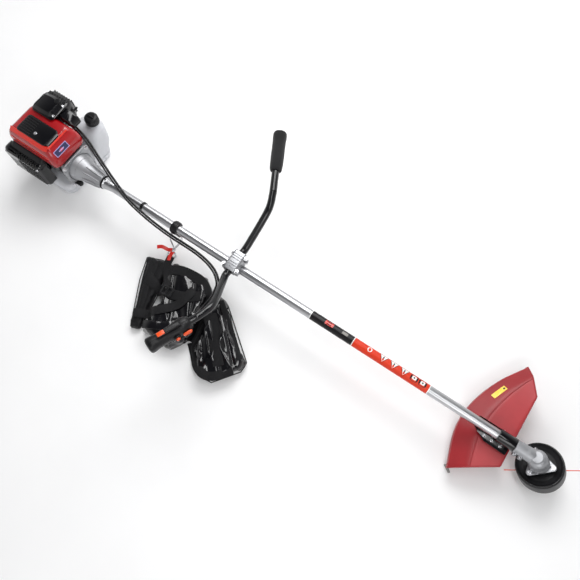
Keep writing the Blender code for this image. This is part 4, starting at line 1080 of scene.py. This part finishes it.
def make_throttle():
    """The right grip: a moulded housing with a seam, a palm swell, the trigger, the safety lever, the
    orange switch and the orange lock button in its collar."""
    frame_at = grip_matrix(-1, THROTTLE_START)
    rings = []
    for z, wide, high, lift in (
        (0.0, 0.0128, 0.0135, 0.0), (0.003, 0.015, 0.0165, 0.0), (0.01, 0.0195, 0.0205, -0.0006),
        (0.024, 0.0215, 0.0215, 0.0), (0.036, 0.0205, 0.0206, 0.0), (0.048, 0.0186, 0.0192, 0.0),
        (0.064, 0.0176, 0.0184, 0.0), (0.086, 0.0174, 0.0182, 0.0), (0.101, 0.0186, 0.0196, 0.0),
        (0.11, 0.02, 0.0208, 0.0), (0.117, 0.0196, 0.02, 0.0), (0.1205, 0.016, 0.0165, 0.0),
        (0.1218, 0.01, 0.0105, 0.0),
    ):
        ring = []
        for step in range(40):
            angle = 2 * math.pi * step / 40
            flat = 1 / (abs(math.cos(angle)) ** 2.6 + abs(math.sin(angle)) ** 2.6) ** (1 / 2.6)
            ring.append((wide * math.cos(angle) * flat, lift + high * math.sin(angle) * flat, z))
        rings.append(ring)
    show(loft("throttle_housing", rings), "satin_black", "throttle_grip", matrix=frame_at, sharp=60)
    seam = []
    for ring in rings[1:]:
        seam.append(Vector((0, ring[10][1] + 0.0002, ring[10][2])))
    show(tube("housing_seam", seam, 0.0005, 2), "soft_rubber", slot="black_plastic", matrix=frame_at)
    rows = 7
    for row in range(rows):
        for flank in (-1, 1):
            ridge = block(f"palm_ridge_{'lr'[flank > 0]}_{row + 1}", (0.0016, 0.017, 0.0022), 0.0007)
            show(ridge, "satin_black",
                 matrix=frame_at @ Matrix.Translation((flank * 0.0175, 0, 0.06 + row * 0.005)))
    collar = rounded([(0.0062, 0), (0.01, 0), (0.0092, 0.0042), (0.0062, 0.0042)], 0.0006)
    on_face = frame_at @ Matrix.Translation((0.0194, 0.003, 0.048)) @ rotated(90, "Y")
    show(turned("lock_collar", collar, 40), "satin_black", matrix=on_face)
    button = rounded([(0, 0.0052), (0.005, 0.0052), (0.0054, 0.0034), (0.0054, 0.0), (0, 0.0)], 0.001)
    show(turned("lock_knob", button, 40), "orange", "lock_button", body="lock_button",
         matrix=frame_at @ Matrix.Translation((0.0226, 0.003, 0.048)) @ rotated(90, "Y"))
    slider_rings = []
    for x, half_y, half_z in ((0.0222, 0.008, 0.0125), (0.025, 0.0078, 0.0122), (0.0266, 0.0062, 0.01)):
        slider_rings.append([(x, 0.003 + y, 0.02 + z) for y, z in rounded_rectangle(
            (-half_y, -half_z), (half_y, half_z), half_y * 0.9, 6)])
    show(loft("switch_slider", slider_rings), "orange", "stop_switch", body="stop_switch", matrix=frame_at,
         sharp=40)

    def side_piece(name, body, outline, width, foot, *hidden):
        axes = Matrix(((0, 0, -1, 0), (0, 1, 0, 0), (1, 0, 0, 0), (0, 0, 0, 1)))
        piece = plate(name, [outline], width, 0.0018)
        show(piece, "satin_black", *hidden, body=body, matrix=frame_at @ Matrix.Translation(foot) @ axes,
             sharp=50)

    trigger = smooth_outline([
        (-0.004, 0.0), (0.01, -0.004), (0.026, -0.0098), (0.042, -0.0138), (0.058, -0.014),
        (0.0636, -0.011), (0.06, -0.0022), (0.045, 0.0006), (0.03, 0.0028), (0.006, 0.0048),
        (-0.003, 0.0044),
    ], 3)
    side_piece("trigger_blade", "trigger", trigger, 0.0126, (0, -0.029, 0.024), "throttle_trigger")
    lever = smooth_outline([
        (0.0, 0.0004), (0.015, 0.002), (0.03, 0.0042), (0.05, 0.0078), (0.062, 0.0102),
        (0.064, 0.0138), (0.048, 0.0142), (0.03, 0.0126), (0.014, 0.0104), (0.002, 0.0066),
    ], 3)
    side_piece("safety_blade", "safety_lever", lever, 0.0116, (0, 0.0235, 0.024), "safety_lever")
    tip = block("safety_tip", (0.011, 0.0034, 0.02), 0.0014)
    show(tip, "orange", body="safety_lever", matrix=frame_at @ Matrix.Translation((0, 0.0373, 0.078)))
    bracket = block("trigger_mount", (0.006, 0.01, 0.014), 0.0016)
    show(bracket, "satin_black", matrix=frame_at @ Matrix.Translation((0.0102, -0.023, 0.025)))


def smooth_outline(points, per_span):
    """A closed outline made smooth through its points."""
    count = len(points)
    out = []
    for i in range(count):
        a, b, c, d = (Vector(points[(i + k) % count]) for k in (-1, 0, 1, 2))
        for step in range(per_span):
            t = step / per_span
            spot = 0.5 * (2 * b + (c - a) * t + (2 * a - 5 * b + 4 * c - d) * t**2)
            spot += 0.5 * (3 * b - a - 3 * c + d) * t**3
            out.append((spot.x, spot.y))
    return out


# Cutting end

GUARD_NECK_X = 1.362


def guard_rows(spans):
    """Stations across the guard, each from its straight front edge to its fan-shaped rear edge."""
    front = [Vector((GUARD_NECK_X, -0.06 + 0.213 * i / spans, 0)) for i in range(spans + 1)]
    rear = smooth_route(
        [(1.26, -0.13, 0), (1.234, -0.045, 0), (1.23, 0.015, 0), (1.242, 0.08, 0),
         (1.272, 0.155, 0), (1.317, 0.228, 0)], 24)
    lengths = [0.0]
    for a, b in zip(rear, rear[1:]):
        lengths.append(lengths[-1] + (b - a).length)
    rows = []
    for i, start in enumerate(front):
        goal = lengths[-1] * i / spans
        k = min(max(sum(1 for length in lengths if length < goal), 1), len(rear) - 1)
        part = (goal - lengths[k - 1]) / max(lengths[k] - lengths[k - 1], 1e-9)
        rows.append((start, rear[k - 1].lerp(rear[k], part)))
    return rows


def guard_height(t):
    """Height of the guard's upper face from its front edge, 0, to its rear edge, 1."""
    stations = ((0.0, -0.03), (0.3, -0.0355), (0.6, -0.0415), (0.66, -0.0438), (1.0, -0.0698))
    for (t0, z0), (t1, z1) in zip(stations, stations[1:]):
        if t <= t1:
            return z0 + (z1 - z0) * (t - t0) / (t1 - t0)
    return stations[-1][1]


def guard_strip(name, rows, first, last, steps, thickness, look, drop=0.0, *hidden):
    """A band of the guard between two shares of the way from its front edge to its rear edge."""
    bm = bmesh.new()
    grid = []
    for start, end in rows:
        line = []
        for step in range(steps + 1):
            t = first + (last - first) * step / steps
            spot = start.lerp(end, t)
            line.append(bm.verts.new((spot.x, spot.y, guard_height(t) + drop)))
        if last >= 1.0:
            lip = start.lerp(end, 1.008)
            line.append(bm.verts.new((lip.x, lip.y, -0.073 + drop)))
            line.append(bm.verts.new((start.lerp(end, 1.012).x, start.lerp(end, 1.012).y, -0.0858 + drop)))
        grid.append(line)
    for left, right in zip(grid, grid[1:]):
        for i in range(len(left) - 1):
            bm.faces.new((left[i], right[i], right[i + 1], left[i + 1]))
    bmesh.ops.recalc_face_normals(bm, faces=bm.faces)
    band = mesh_object(name, bm)
    if band.data.polygons[0].normal.z < 0:
        band.data.flip_normals()
    walled(band, thickness).use_even_offset = True
    edge = band.modifiers.new("edge", "BEVEL")
    edge.width = 0.0007
    edge.segments = 2
    edge.limit_method = "ANGLE"
    edge.angle_limit = math.radians(40)
    return show(band, look, *hidden, slot="red_plastic", sharp=25)


def make_guard():
    """A sloping band painted darker as shade round an inner panel painted lighter as lit, rolled rims and a
    line cutter.
    """
    rows = guard_rows(48)
    # The sloping band takes the red painted darker as shade, the flat inner panel the red painted lighter
    # as lit.
    guard_strip("guard_band", rows, 0.6, 1.0, 6, 0.0026, "guard_painted_shade", 0.0, "guard")
    guard_strip("guard_inner", rows, 0.0, 0.61, 8, 0.0024, "guard_painted_lit", -0.0002)
    for name, index in (("right", 0), ("left", -1)):
        start, end = rows[index]
        line = []
        for step in range(13):
            t = step / 12
            spot = start.lerp(end, t)
            line.append(Vector((spot.x, spot.y, guard_height(t) - 0.0014)))
        line.append(Vector((end.x, end.y, -0.085)))
        show(tube(f"guard_rim_{name}", line, 0.0023, 3), "guard_painted_shade")
    front = [Vector((start.x, start.y, guard_height(0) - 0.0014)) for start, end in rows]
    show(tube("guard_rim_front", front, 0.0023, 3), "guard_painted_shade")
    crease = [start.lerp(end, 0.605) + Vector((0, 0, guard_height(0.605) + 0.0001)) for start, end in rows]
    show(tube("guard_crease", crease, 0.001, 3), "guard_painted_shade")
    for i, share in enumerate((10, 22, 36)):
        start, end = rows[share]
        rib = [start.lerp(end, t) + Vector((0, 0, guard_height(t) - 0.0042))
               for t in (0.05, 0.3, 0.6, 0.98)]
        show(tube(f"guard_stiffener_{i + 1}", rib, 0.002, 3), "guard_painted_shade")
    start, end = rows[33]
    spot = start.lerp(end, 0.8)
    slope = (end - start).normalized()
    normal = Vector((slope.x * 0.56, slope.y * 0.56, 1)).normalized()
    ahead = (rows[35][1] - rows[31][1]).normalized()
    side = normal.cross(ahead).normalized()
    turn = Matrix((side.cross(normal), side, normal)).transposed().to_4x4()
    sticker = plate("guard_sticker", [rounded_rectangle((-0.023, -0.007), (0.023, 0.007), 0.001, 2)],
                    0.0004)
    place = moved(spot.x, spot.y, guard_height(0.8) + 0.0006) @ turn
    show(sticker, "sticker_yellow", matrix=place)
    border = plate("guard_sticker_mark",
                   [rounded_rectangle((-0.003, -0.0022), (0.003, 0.0022), 0.0006, 2)], 0.0003)
    show(border, "label_black", matrix=place @ Matrix.Translation((0.017, 0.0, 0.0004)))
    blade = plate("cutter_blade", [[(-0.012, -0.0115), (0.012, -0.0115), (0.012, 0.006), (0.006, 0.0115),
                                    (-0.012, 0.0115)]], 0.0016, 0.0003)
    upright = rotated(-33, "Z") @ rotated(90, "X")
    show(blade, "dark_steel", "line_blade", matrix=moved(1.266, -0.129, -0.0985) @ upright)


def make_bracket():
    """The black clamp on the shaft, the plate under it and the screws through the guard."""
    outer, tab, low = 0.0178, 0.005, -0.0226
    start = math.degrees(math.asin(tab / outer))
    outline = arc(outer, -90 + start, 270 - start, 44) + [(-tab, low), (tab, low)]
    clamp = plate("guard_clamp", [outline, circle(TUBE_RADIUS + 0.0004, 48)], 0.047, 0.0014)
    show(clamp, "gloss_black", "bracket_clamp", matrix=along_shaft(1.3372), sharp=30)
    corners = [(1.258, -0.008), (1.27, -0.015), (1.296, -0.029), (1.356, -0.031), (1.358, -0.029),
               (1.358, 0.022), (1.356, 0.024), (1.26, 0.024), (1.258, 0.022)]
    base = plate("guard_plate", [corners], 0.003, 0.0006)
    show(base, "bar_paint", "bracket_plate", matrix=moved(0, 0, -0.0246))
    stations = (
        (1.27, ((-0.017, -0.0232), (-0.006, -0.0232), (-0.006, -0.0215), (-0.017, -0.0215))),
        (1.29, ((-0.023, -0.0232), (-0.006, -0.0232), (-0.012, -0.0165), (-0.023, -0.0185))),
        (1.346, ((-0.024, -0.0232), (-0.006, -0.0232), (-0.012, -0.0165), (-0.024, -0.0185))),
    )
    wing = loft("guard_wing", [[(x, y, z) for y, z in section] for x, section in stations])
    show(wing, "bar_paint", sharp=30)
    for i, (x, y) in enumerate(((1.29, -0.0182), (1.312, -0.0188), (1.336, -0.0192))):
        bolt(f"guard_bolt_{i + 1}", facing((0, 0, 1), (x, y, -0.0182)), 0.0032, 0.0042)
    bolt("guard_bolt_4", facing((0, 0, 1), (1.33, 0.02, -0.023)), 0.0036, 0.004)
    for i, x in enumerate((1.322, 1.352)):
        bolt(f"clamp_bolt_{i + 1}", facing((0, 1, 0), (x, 0.005, -0.0196)), 0.0026, 0.0026)


def make_gear_case():
    """The cast gear case: a neck with a pinch screw, a turned body, a raised round boss and its flange."""
    neck = rounded([(0.0134, 1.3616), (0.018, 1.3616), (0.018, 1.39), (0.0188, 1.396), (0.0192, 1.413),
                    (0.0134, 1.413)], 0.001)
    show(turned("gear_neck", neck, 64), "cast_aluminium", matrix=along_shaft())
    body = rounded([
        (0, 0.0232), (0.014, 0.0232), (0.0156, 0.0222), (0.016, 0.0186), (0.0176, 0.018), (0.0225, 0.014),
        (0.0242, 0.006), (0.0242, -0.016), (0.0262, -0.0215), (0.0262, -0.0282), (0.019, -0.0282),
        (0.019, 0.0135), (0, 0.0135),
    ], 0.0012)
    show(turned("gear_body", body, 72), "cast_aluminium", "gear_case", matrix=SPINDLE, sharp=35)
    for i, x in enumerate((1.37, 1.386)):
        ear = block(f"neck_ear_{i + 1}", (0.01, 0.012, 0.011), 0.0016)
        show(ear, "cast_aluminium", matrix=moved(x, -0.0185, -0.004))
        bolt(f"neck_screw_{i + 1}", facing((0, 0, 1), (x, -0.019, 0.0015)), 0.0036, 0.004)
    grease = turned("grease_screw", rounded([(0, 0), (0.0046, 0), (0.0046, 0.003), (0, 0.003)], 0.0005), 6)
    show(grease, "zinc_steel", matrix=facing((0, 1, 0.1), (1.41, 0.0205, 0.001)), sharp=20)
    corners = []
    screw_spots = []
    for turn in (90, 210, 330):
        spot = (0.033 * math.cos(math.radians(turn)), 0.033 * math.sin(math.radians(turn)))
        screw_spots.append(spot)
        corners += arc(0.0085, turn - 60, turn + 60, 12, spot)
    flange_at = SPINDLE @ Matrix.Translation((0, 0, -0.0306)) @ rotated(40, "Z")
    flange = plate("gear_flange", [corners, circle(0.006, 48)], 0.0044, 0.0008)
    show(flange, "bright_aluminium", "gear_case_flange", matrix=flange_at, sharp=30)
    for i, (x, y) in enumerate(screw_spots):
        place = flange_at @ Matrix.Translation((x, y, 0.0022))
        bolt(f"flange_bolt_{i + 1}", place, 0.0034, 0.003)
    for i in range(3):
        turn = rotated(10 + 120 * i, "Z")
        web = loft(f"flange_web_{i + 1}", [
            [(0.02, -0.0018, -0.0286), (0.033, -0.0018, -0.0286), (0.0235, -0.0018, -0.018)],
            [(0.02, 0.0018, -0.0286), (0.033, 0.0018, -0.0286), (0.0235, 0.0018, -0.018)],
        ])
        show(web, "cast_aluminium", matrix=SPINDLE @ turn, sharp=30)


def make_head():
    """The trimmer head: a cup with a raised rim, its lower cover, eyelets and the bump knob."""
    hub = 0.0044
    cup = rounded([
        (hub, -0.0442), (0.022, -0.0442), (0.024, -0.0448), (0.04, -0.044), (0.05, -0.0404),
        (0.054, -0.0374), (0.0562, -0.0366), (0.0584, -0.0374), (0.0598, -0.041), (0.06, -0.046),
        (0.06, -0.078), (0.059, -0.0798), (0.0572, -0.0798), (0.057, -0.052), (hub, -0.052),
    ], 0.001)
    show(turned("head_cup", cup, 96), "satin_black", "trimmer_head_cup", body="head", matrix=SPINDLE,
         sharp=30)
    rim = [(0.0562 + 0.0016 * math.cos(a), -0.0372 + 0.0016 * math.sin(a))
           for a in (2 * math.pi * k / 12 for k in range(12))]
    show(turned("head_rim", rim, 96), "gloss_black", body="head", matrix=SPINDLE, sharp=80)
    cover = rounded([
        (0, -0.0825), (0.056, -0.0825), (0.0582, -0.085), (0.0556, -0.0945), (0.0462, -0.1023),
        (0.0245, -0.1023), (0.0245, -0.088), (0, -0.088),
    ], 0.0014)
    show(turned("head_cover", cover, 96), "satin_black", "trimmer_head_cover", body="head", matrix=SPINDLE,
         sharp=35)
    knob = rounded([(0, -0.0925), (0.0225, -0.0925), (0.0225, -0.1015), (0.0205, -0.1064), (0, -0.1079)],
                   0.0014)
    show(turned("head_knob", knob, 64), "satin_black", "bump_knob", body="bump_knob", matrix=SPINDLE,
         sharp=35)
    line_turn = math.radians(29)
    out = Vector((math.cos(line_turn), math.sin(line_turn), 0))
    height = Vector((0, 0, -0.0812))
    for name, way in (("front", 1), ("back", -1)):
        eyelet = rounded([(0.0016, 0), (0.0046, 0), (0.0046, 0.0024), (0.003, 0.0032), (0.0016, 0.0024)],
                         0.0004)
        place = SPINDLE @ Matrix.Translation(height + out * way * 0.0572) @ (
            (out * way).to_track_quat("Z", "Y").to_matrix().to_4x4())
        show(turned(f"eyelet_{name}", eyelet, 32), "zinc_steel", body="head", matrix=place)
    points = [height + out * reach for reach in (-0.0918, -0.06, 0.0, 0.06, 0.0918)]
    show(tube("trimmer_line", points, 0.0012, 4), "line_nylon", "cutting_line", body="head",
         slot="line_nylon", matrix=SPINDLE)


# Harness

FLOOR_GAP = 0.0008
PAD_PRESSURE = 4.0
PAD_SPARE_CLOTH = 0.1
PAD_REACH = 0.009
SEAM_DEPTH = 0.0032
SEAM_WIDTH = 0.0036
PAD_OUTLINES = {
    "hip": [(0.214, -0.1), (0.26, -0.08), (0.3, -0.078), (0.34, -0.286), (0.312, -0.3),
            (0.24, -0.17)],
    "bundle": [(0.304, -0.07), (0.42, -0.056), (0.458, -0.08), (0.49, -0.24),
               (0.45, -0.292), (0.352, -0.292)],
    "thigh": [(0.464, -0.076), (0.51, -0.086), (0.66, -0.198), (0.66, -0.228),
              (0.608, -0.3), (0.56, -0.306), (0.498, -0.252)],
}


def inset_outline(outline, amount):
    centre = sum((Vector(p) for p in outline), Vector((0, 0))) / len(outline)
    out = []
    for point in outline:
        arm = Vector(point) - centre
        out.append(tuple(centre + arm * (1 - amount / arm.length)))
    return out


def slab(name, outline, height, inset):
    """The plain slab that a pad starts from, a little smaller than the pad, as a fine closed mesh."""
    base = GROUND + FLOOR_GAP
    rings = []
    for share, extra in ((0.0, 0.006), (0.25, 0.0), (0.75, 0.0), (1.0, 0.006)):
        ring = subdivided(inset_outline(outline, inset + extra), 0.012)
        if rings and len(ring) != len(rings[0]):
            ring = resampled(ring, len(rings[0]))
        rings.append([(x, y, base + height * share) for x, y in ring])
    obj = loft(name, rings)
    remesh = obj.modifiers.new("remesh", "REMESH")
    remesh.mode = "VOXEL"
    remesh.voxel_size = 0.0055
    return as_mesh(obj)


def resampled(outline, count):
    """A closed outline with its points spread evenly, as many as asked for."""
    ends = outline + [outline[0]]
    lengths = [0.0]
    for a, b in zip(ends, ends[1:]):
        lengths.append(lengths[-1] + math.dist(a, b))
    out = []
    for step in range(count):
        goal = lengths[-1] * step / count
        k = max(i for i, length in enumerate(lengths) if length <= goal)
        part = (goal - lengths[k]) / max(lengths[k + 1] - lengths[k], 1e-9)
        out.append(tuple(Vector(ends[k]).lerp(Vector(ends[k + 1]), part)))
    return out


def inflate(obj, pressure, spare, reach):
    """Blows the cloth up with the cloth solver, with spare cloth that has to wrinkle. A point moves no
    further than reach, and none goes under the ground."""
    scene = bpy.context.scene
    scene.collection.objects.link(obj)
    start = [v.co.copy() for v in obj.data.vertices]
    cloth = obj.modifiers.new("cloth", "CLOTH")
    cloth.settings.quality = 5
    cloth.settings.mass = 0.25
    cloth.settings.tension_stiffness = 25
    cloth.settings.compression_stiffness = 25
    cloth.settings.bending_stiffness = 0.4
    cloth.settings.use_pressure = True
    cloth.settings.uniform_pressure_force = pressure
    cloth.settings.shrink_min = -spare
    cloth.settings.shrink_max = -spare
    cloth.settings.effector_weights.gravity = 0
    cloth.collision_settings.use_collision = False
    cloth.collision_settings.use_self_collision = False
    frames = 18
    cloth.point_cache.frame_end = frames
    for step in range(1, frames + 1):
        scene.frame_set(step)
    shape = obj.evaluated_get(bpy.context.evaluated_depsgraph_get()).data
    ends = [v.co.copy() for v in shape.vertices]
    obj.modifiers.clear()
    scene.frame_set(1)
    lowest = GROUND + FLOOR_GAP
    for vert, before, after in zip(obj.data.vertices, start, ends):
        move = after - before
        if move.length > reach:
            move = move.normalized() * reach
        vert.co = before + move
        vert.co.z = max(vert.co.z, lowest)
    scene.collection.objects.unlink(obj)


def wrinkled(obj, depth, pitch, along, seed):
    """Folds of a stiff cloth: sharp ridges that run mostly one way, worked into the surface."""
    fine = obj.modifiers.new("fine", "SUBSURF")
    fine.levels = 1
    fine.render_levels = 1
    obj = as_mesh(obj)
    way = Vector(along).normalized()
    side = Vector((-way.y, way.x, 0))
    lowest = GROUND + FLOOR_GAP
    moves = []
    for vert in obj.data.vertices:
        spot = vert.co
        mapped = Vector((spot.dot(way) / (pitch * 3.2), spot.dot(side) / pitch, spot.z / pitch + seed))
        warp = noise.noise(mapped * 0.45 + Vector((5, seed, 0)))
        ridge = 1 - abs(noise.noise(mapped + Vector((warp, warp * 1.6, 0)))) * 2.6
        small = noise.noise(mapped * 2.7)
        moves.append(vert.normal * depth * (ridge * 0.75 + small * 0.35 - 0.5))
    for vert, move in zip(obj.data.vertices, moves):
        vert.co += move
        vert.co.z = max(vert.co.z, lowest)
    return obj


def grooved(obj, lines, depth, width):
    """Sewn lines: the upper face sinks along each (start, end) line on the ground plan."""
    for vert in obj.data.vertices:
        spot = vert.co.xy
        if vert.normal.z < 0.2:
            continue
        for start, end in lines:
            a, b = Vector(start), Vector(end)
            share = min(max((spot - a).dot(b - a) / (b - a).length_squared, 0), 1)
            gap = (spot - a.lerp(b, share)).length
            vert.co.z -= depth * math.exp(-(gap / width) ** 2)
    return obj


def pad(name, key, node, height, inset, look, fold, lines, seed):
    """A stuffed pad of the harness, in the place of its CAD solid."""
    obj = slab(name, PAD_OUTLINES[key], height, inset)
    depth, pitch, along = fold
    inflate(obj, PAD_PRESSURE, PAD_SPARE_CLOTH, PAD_REACH)
    obj = wrinkled(obj, depth, pitch, along, seed)
    grooved(obj, lines, SEAM_DEPTH, SEAM_WIDTH)
    show(obj, look, node, body="harness", slot="harness_cloth", sharp=0)
    obj.data.shade_smooth()
    return obj


def top_of(pads, x, y):
    """The height of the pads' upper faces over a point, or of the ground."""
    high = GROUND + FLOOR_GAP
    for obj in pads:
        hit, spot, _, _ = obj.ray_cast(Vector((x, y, 0.05)), Vector((0, 0, -1)))
        if hit:
            high = max(high, spot.z)
    return high


def laid_strap(name, pads, route, width, look, lift=0.0016, thickness=0.0022):
    """A flat strap laid over the pads along a route on the ground plan."""
    line = smooth_route([(x, y, 0) for x, y in route], 8)
    heights = [top_of(pads, p.x, p.y) + lift for p in line]
    for _ in range(3):
        eased = [max(heights[i],
                     (heights[max(i - 1, 0)] + heights[min(i + 1, len(heights) - 1)]) / 2 - 0.0004)
                 for i in range(len(heights))]
        heights = eased
    points = [Vector((p.x, p.y, z)) for p, z in zip(line, heights)]
    normals = [Vector((0, 0, 1))] * len(points)
    strap = ribbon(name, points, normals, width, thickness)
    return show(strap, look, body="harness", slot="harness_cloth", sharp=50)


def make_harness():
    """Pads and straps folded together on the ground at the right of the shaft."""
    hip = pad("hip_pad", "hip", "harness_hip_pad", 0.026, 0.006, "pad_cloth",
              (0.0022, 0.04, (0.3, -1, 0)),
              [((0.232, -0.112), (0.318, -0.282)), ((0.262, -0.094), (0.324, -0.27))], 1.3)
    bundle = pad("bundle", "bundle", "harness_bundle", 0.046, 0.008, "film",
                 (0.006, 0.042, (0.55, -1, 0)),
                 [((0.33, -0.1), (0.43, -0.27)), ((0.39, -0.08), (0.47, -0.22))], 4.1)
    thigh = pad("thigh_pad", "thigh", "harness_thigh_pad", 0.034, 0.007, "film",
                (0.005, 0.036, (1, -0.9, 0)),
                [((0.5, -0.106), (0.632, -0.226)), ((0.5, -0.15), (0.612, -0.262))], 7.7)
    pads = [hip, bundle, thigh]
    laid_strap("strap_outer", pads, [(0.3, -0.11), (0.35, -0.084), (0.415, -0.08), (0.455, -0.11),
                                     (0.478, -0.17), (0.486, -0.235)], 0.03, "webbing")
    laid_strap("strap_cross", pads, [(0.262, -0.15), (0.32, -0.165), (0.392, -0.15), (0.44, -0.118)],
               0.03, "webbing")
    laid_strap("strap_fold_a", pads, [(0.3, -0.262), (0.35, -0.232), (0.4, -0.175), (0.412, -0.112)],
               0.026, "webbing", lift=0.0042)
    laid_strap("strap_fold_b", pads, [(0.352, -0.276), (0.41, -0.244), (0.452, -0.196), (0.462, -0.14)],
               0.024, "film", lift=0.0036)
    laid_strap("strap_edge", pads, [(0.492, -0.092), (0.56, -0.142), (0.64, -0.204)], 0.016, "webbing")
    laid_strap("strap_seam", pads, [(0.478, -0.136), (0.54, -0.186), (0.604, -0.248)], 0.04, "webbing")
    laid_strap("strap_end", pads, [(0.486, -0.236), (0.556, -0.288), (0.6, -0.286), (0.64, -0.238)],
               0.026, "webbing")
    for i, (x, y, turn) in enumerate(((0.35, -0.16, 8), (0.432, -0.222, -52))):
        buckle = plate(f"buckle_{i + 1}", [
            rounded_rectangle((-0.018, -0.014), (0.018, 0.014), 0.004),
            rounded_rectangle((-0.012, -0.01), (-0.002, 0.01), 0.001, 2),
            rounded_rectangle((0.002, -0.01), (0.012, 0.01), 0.001, 2)], 0.004, 0.0012)
        place = Matrix.Translation((x, y, top_of(pads, x, y) + 0.0066)) @ rotated(turn, "Z")
        show(buckle, "satin_black", body="harness", matrix=MACHINE @ place, sharp=30)
    for name, key, height in (("hip", "hip", 0.015), ("thigh", "thigh", 0.019)):
        outline = resampled(inset_outline(PAD_OUTLINES[key], 0.002), 60)
        line = [Vector((x, y, GROUND + height)) for x, y in outline]
        piping = tube(f"piping_{name}", [*line, line[0]], 0.0016, 3)
        show(piping, "webbing", body="harness", sharp=0)


def make_hook():
    """The snap hook through the clamp's eye, its swivel, and the red release tab."""
    eye = Vector((SUSPENSION_X, 0, -0.033))
    hook = smooth_route([eye + Vector(step) for step in (
        (-0.018, -0.012, -0.008), (-0.013, 0, -0.002), (0, 0, 0), (0.013, -0.001, -0.002),
        (0.018, -0.012, -0.01), (0.015, -0.026, -0.02), (0.009, -0.04, -0.03))], 12)
    show(tube("hook", hook, 0.003, 5), "zinc_steel", "snap_hook", body="harness", sharp=50)
    gate = [hook[0], eye + Vector((-0.015, -0.025, -0.02)), eye + Vector((0.007, -0.0385, -0.029))]
    show(tube("hook_gate", smooth_route(gate, 6), 0.0024, 4), "zinc_steel", body="harness")
    low = eye + Vector((0.009, -0.04, -0.03))
    down = Vector((0.1, -0.82, -0.4)).normalized()
    barrel = turned("hook_swivel", rounded([(0, -0.001), (0.0052, -0.001), (0.0052, 0.009), (0.0034, 0.012),
                                            (0, 0.012)], 0.001), 32)
    show(barrel, "zinc_steel", body="harness", matrix=facing(down, low))
    ring_centre = low + down * 0.019
    side = down.cross(Vector((0, 0, 1))).normalized()
    loop = [ring_centre + down * 0.0085 * math.sin(a) + side * 0.013 * math.cos(a)
            for a in (2 * math.pi * k / 32 for k in range(33))]
    show(tube("hook_ring", loop, 0.0026, 4), "zinc_steel", body="harness")
    tabs = {
        "release_tab": [(0.281, -0.044, -0.064), (0.266, -0.052, -0.066), (0.248, -0.056, -0.06),
                        (0.234, -0.064, -0.064)],
        "release_ribbon": [(0.283, -0.048, -0.064), (0.282, -0.066, -0.07), (0.29, -0.086, -0.072),
                           (0.296, -0.102, -0.07)],
    }
    for name, route in tabs.items():
        line = smooth_route(route, 6)
        strap = ribbon(name, line, [Vector((0.1, -0.2, 1))] * len(line), 0.011, 0.0016)
        hidden = ("release_strap",) if name == "release_tab" else ()
        show(strap, "ribbon_red", *hidden, body="harness", sharp=50)
    webbing = smooth_route([ring_centre + down * 0.006, (0.294, -0.095, -0.07), (0.318, -0.122, -0.068),
                            (0.34, -0.148, -0.056)], 6)
    show(ribbon("hook_webbing", webbing, [Vector((0, -0.1, 1))] * len(webbing), 0.024, 0.0024), "webbing",
         body="harness", sharp=50)


# CAD pieces that stay, with their looks

CAD_LOOKS = {
    "drive_shaft": "zinc_steel", "clutch_drum": "dark_steel", "clutch_shoes": "dark_steel",
    "crankshaft": "zinc_steel", "flywheel": "cast_aluminium", "starter_pulley": "satin_black",
    "fan_shroud": "cast_aluminium", "crankcase": "cast_aluminium", "cylinder": "cast_aluminium",
    "spark_plug": "zinc_steel", "muffler": "dark_steel", "air_filter_base": "satin_black",
    "carburettor": "bright_aluminium", "choke_lever": "satin_black", "primer_bulb": "soft_rubber",
    "tube_bush": "soft_rubber", "pinion": "zinc_steel", "bevel_gear": "zinc_steel", "spindle": "zinc_steel",
    "spindle_bearing": "zinc_steel", "line_spool": "satin_black",
}

make_camera()
make_light()
LOOKS = make_materials()
make_floor()
for node, look in CAD_LOOKS.items():
    NODES[node].material_slots[0].material = LOOKS[look]
make_shaft()
make_label()
make_clutch_housing()
make_top_cover()
make_air_filter()
make_muffler_side()
make_starter_detail()
make_starter_housing()
make_tank_detail()
make_cables()
make_handlebar()
make_suspension()
make_throttle()
make_guard()
make_bracket()
make_gear_case()
make_head()
make_harness()
make_hook()
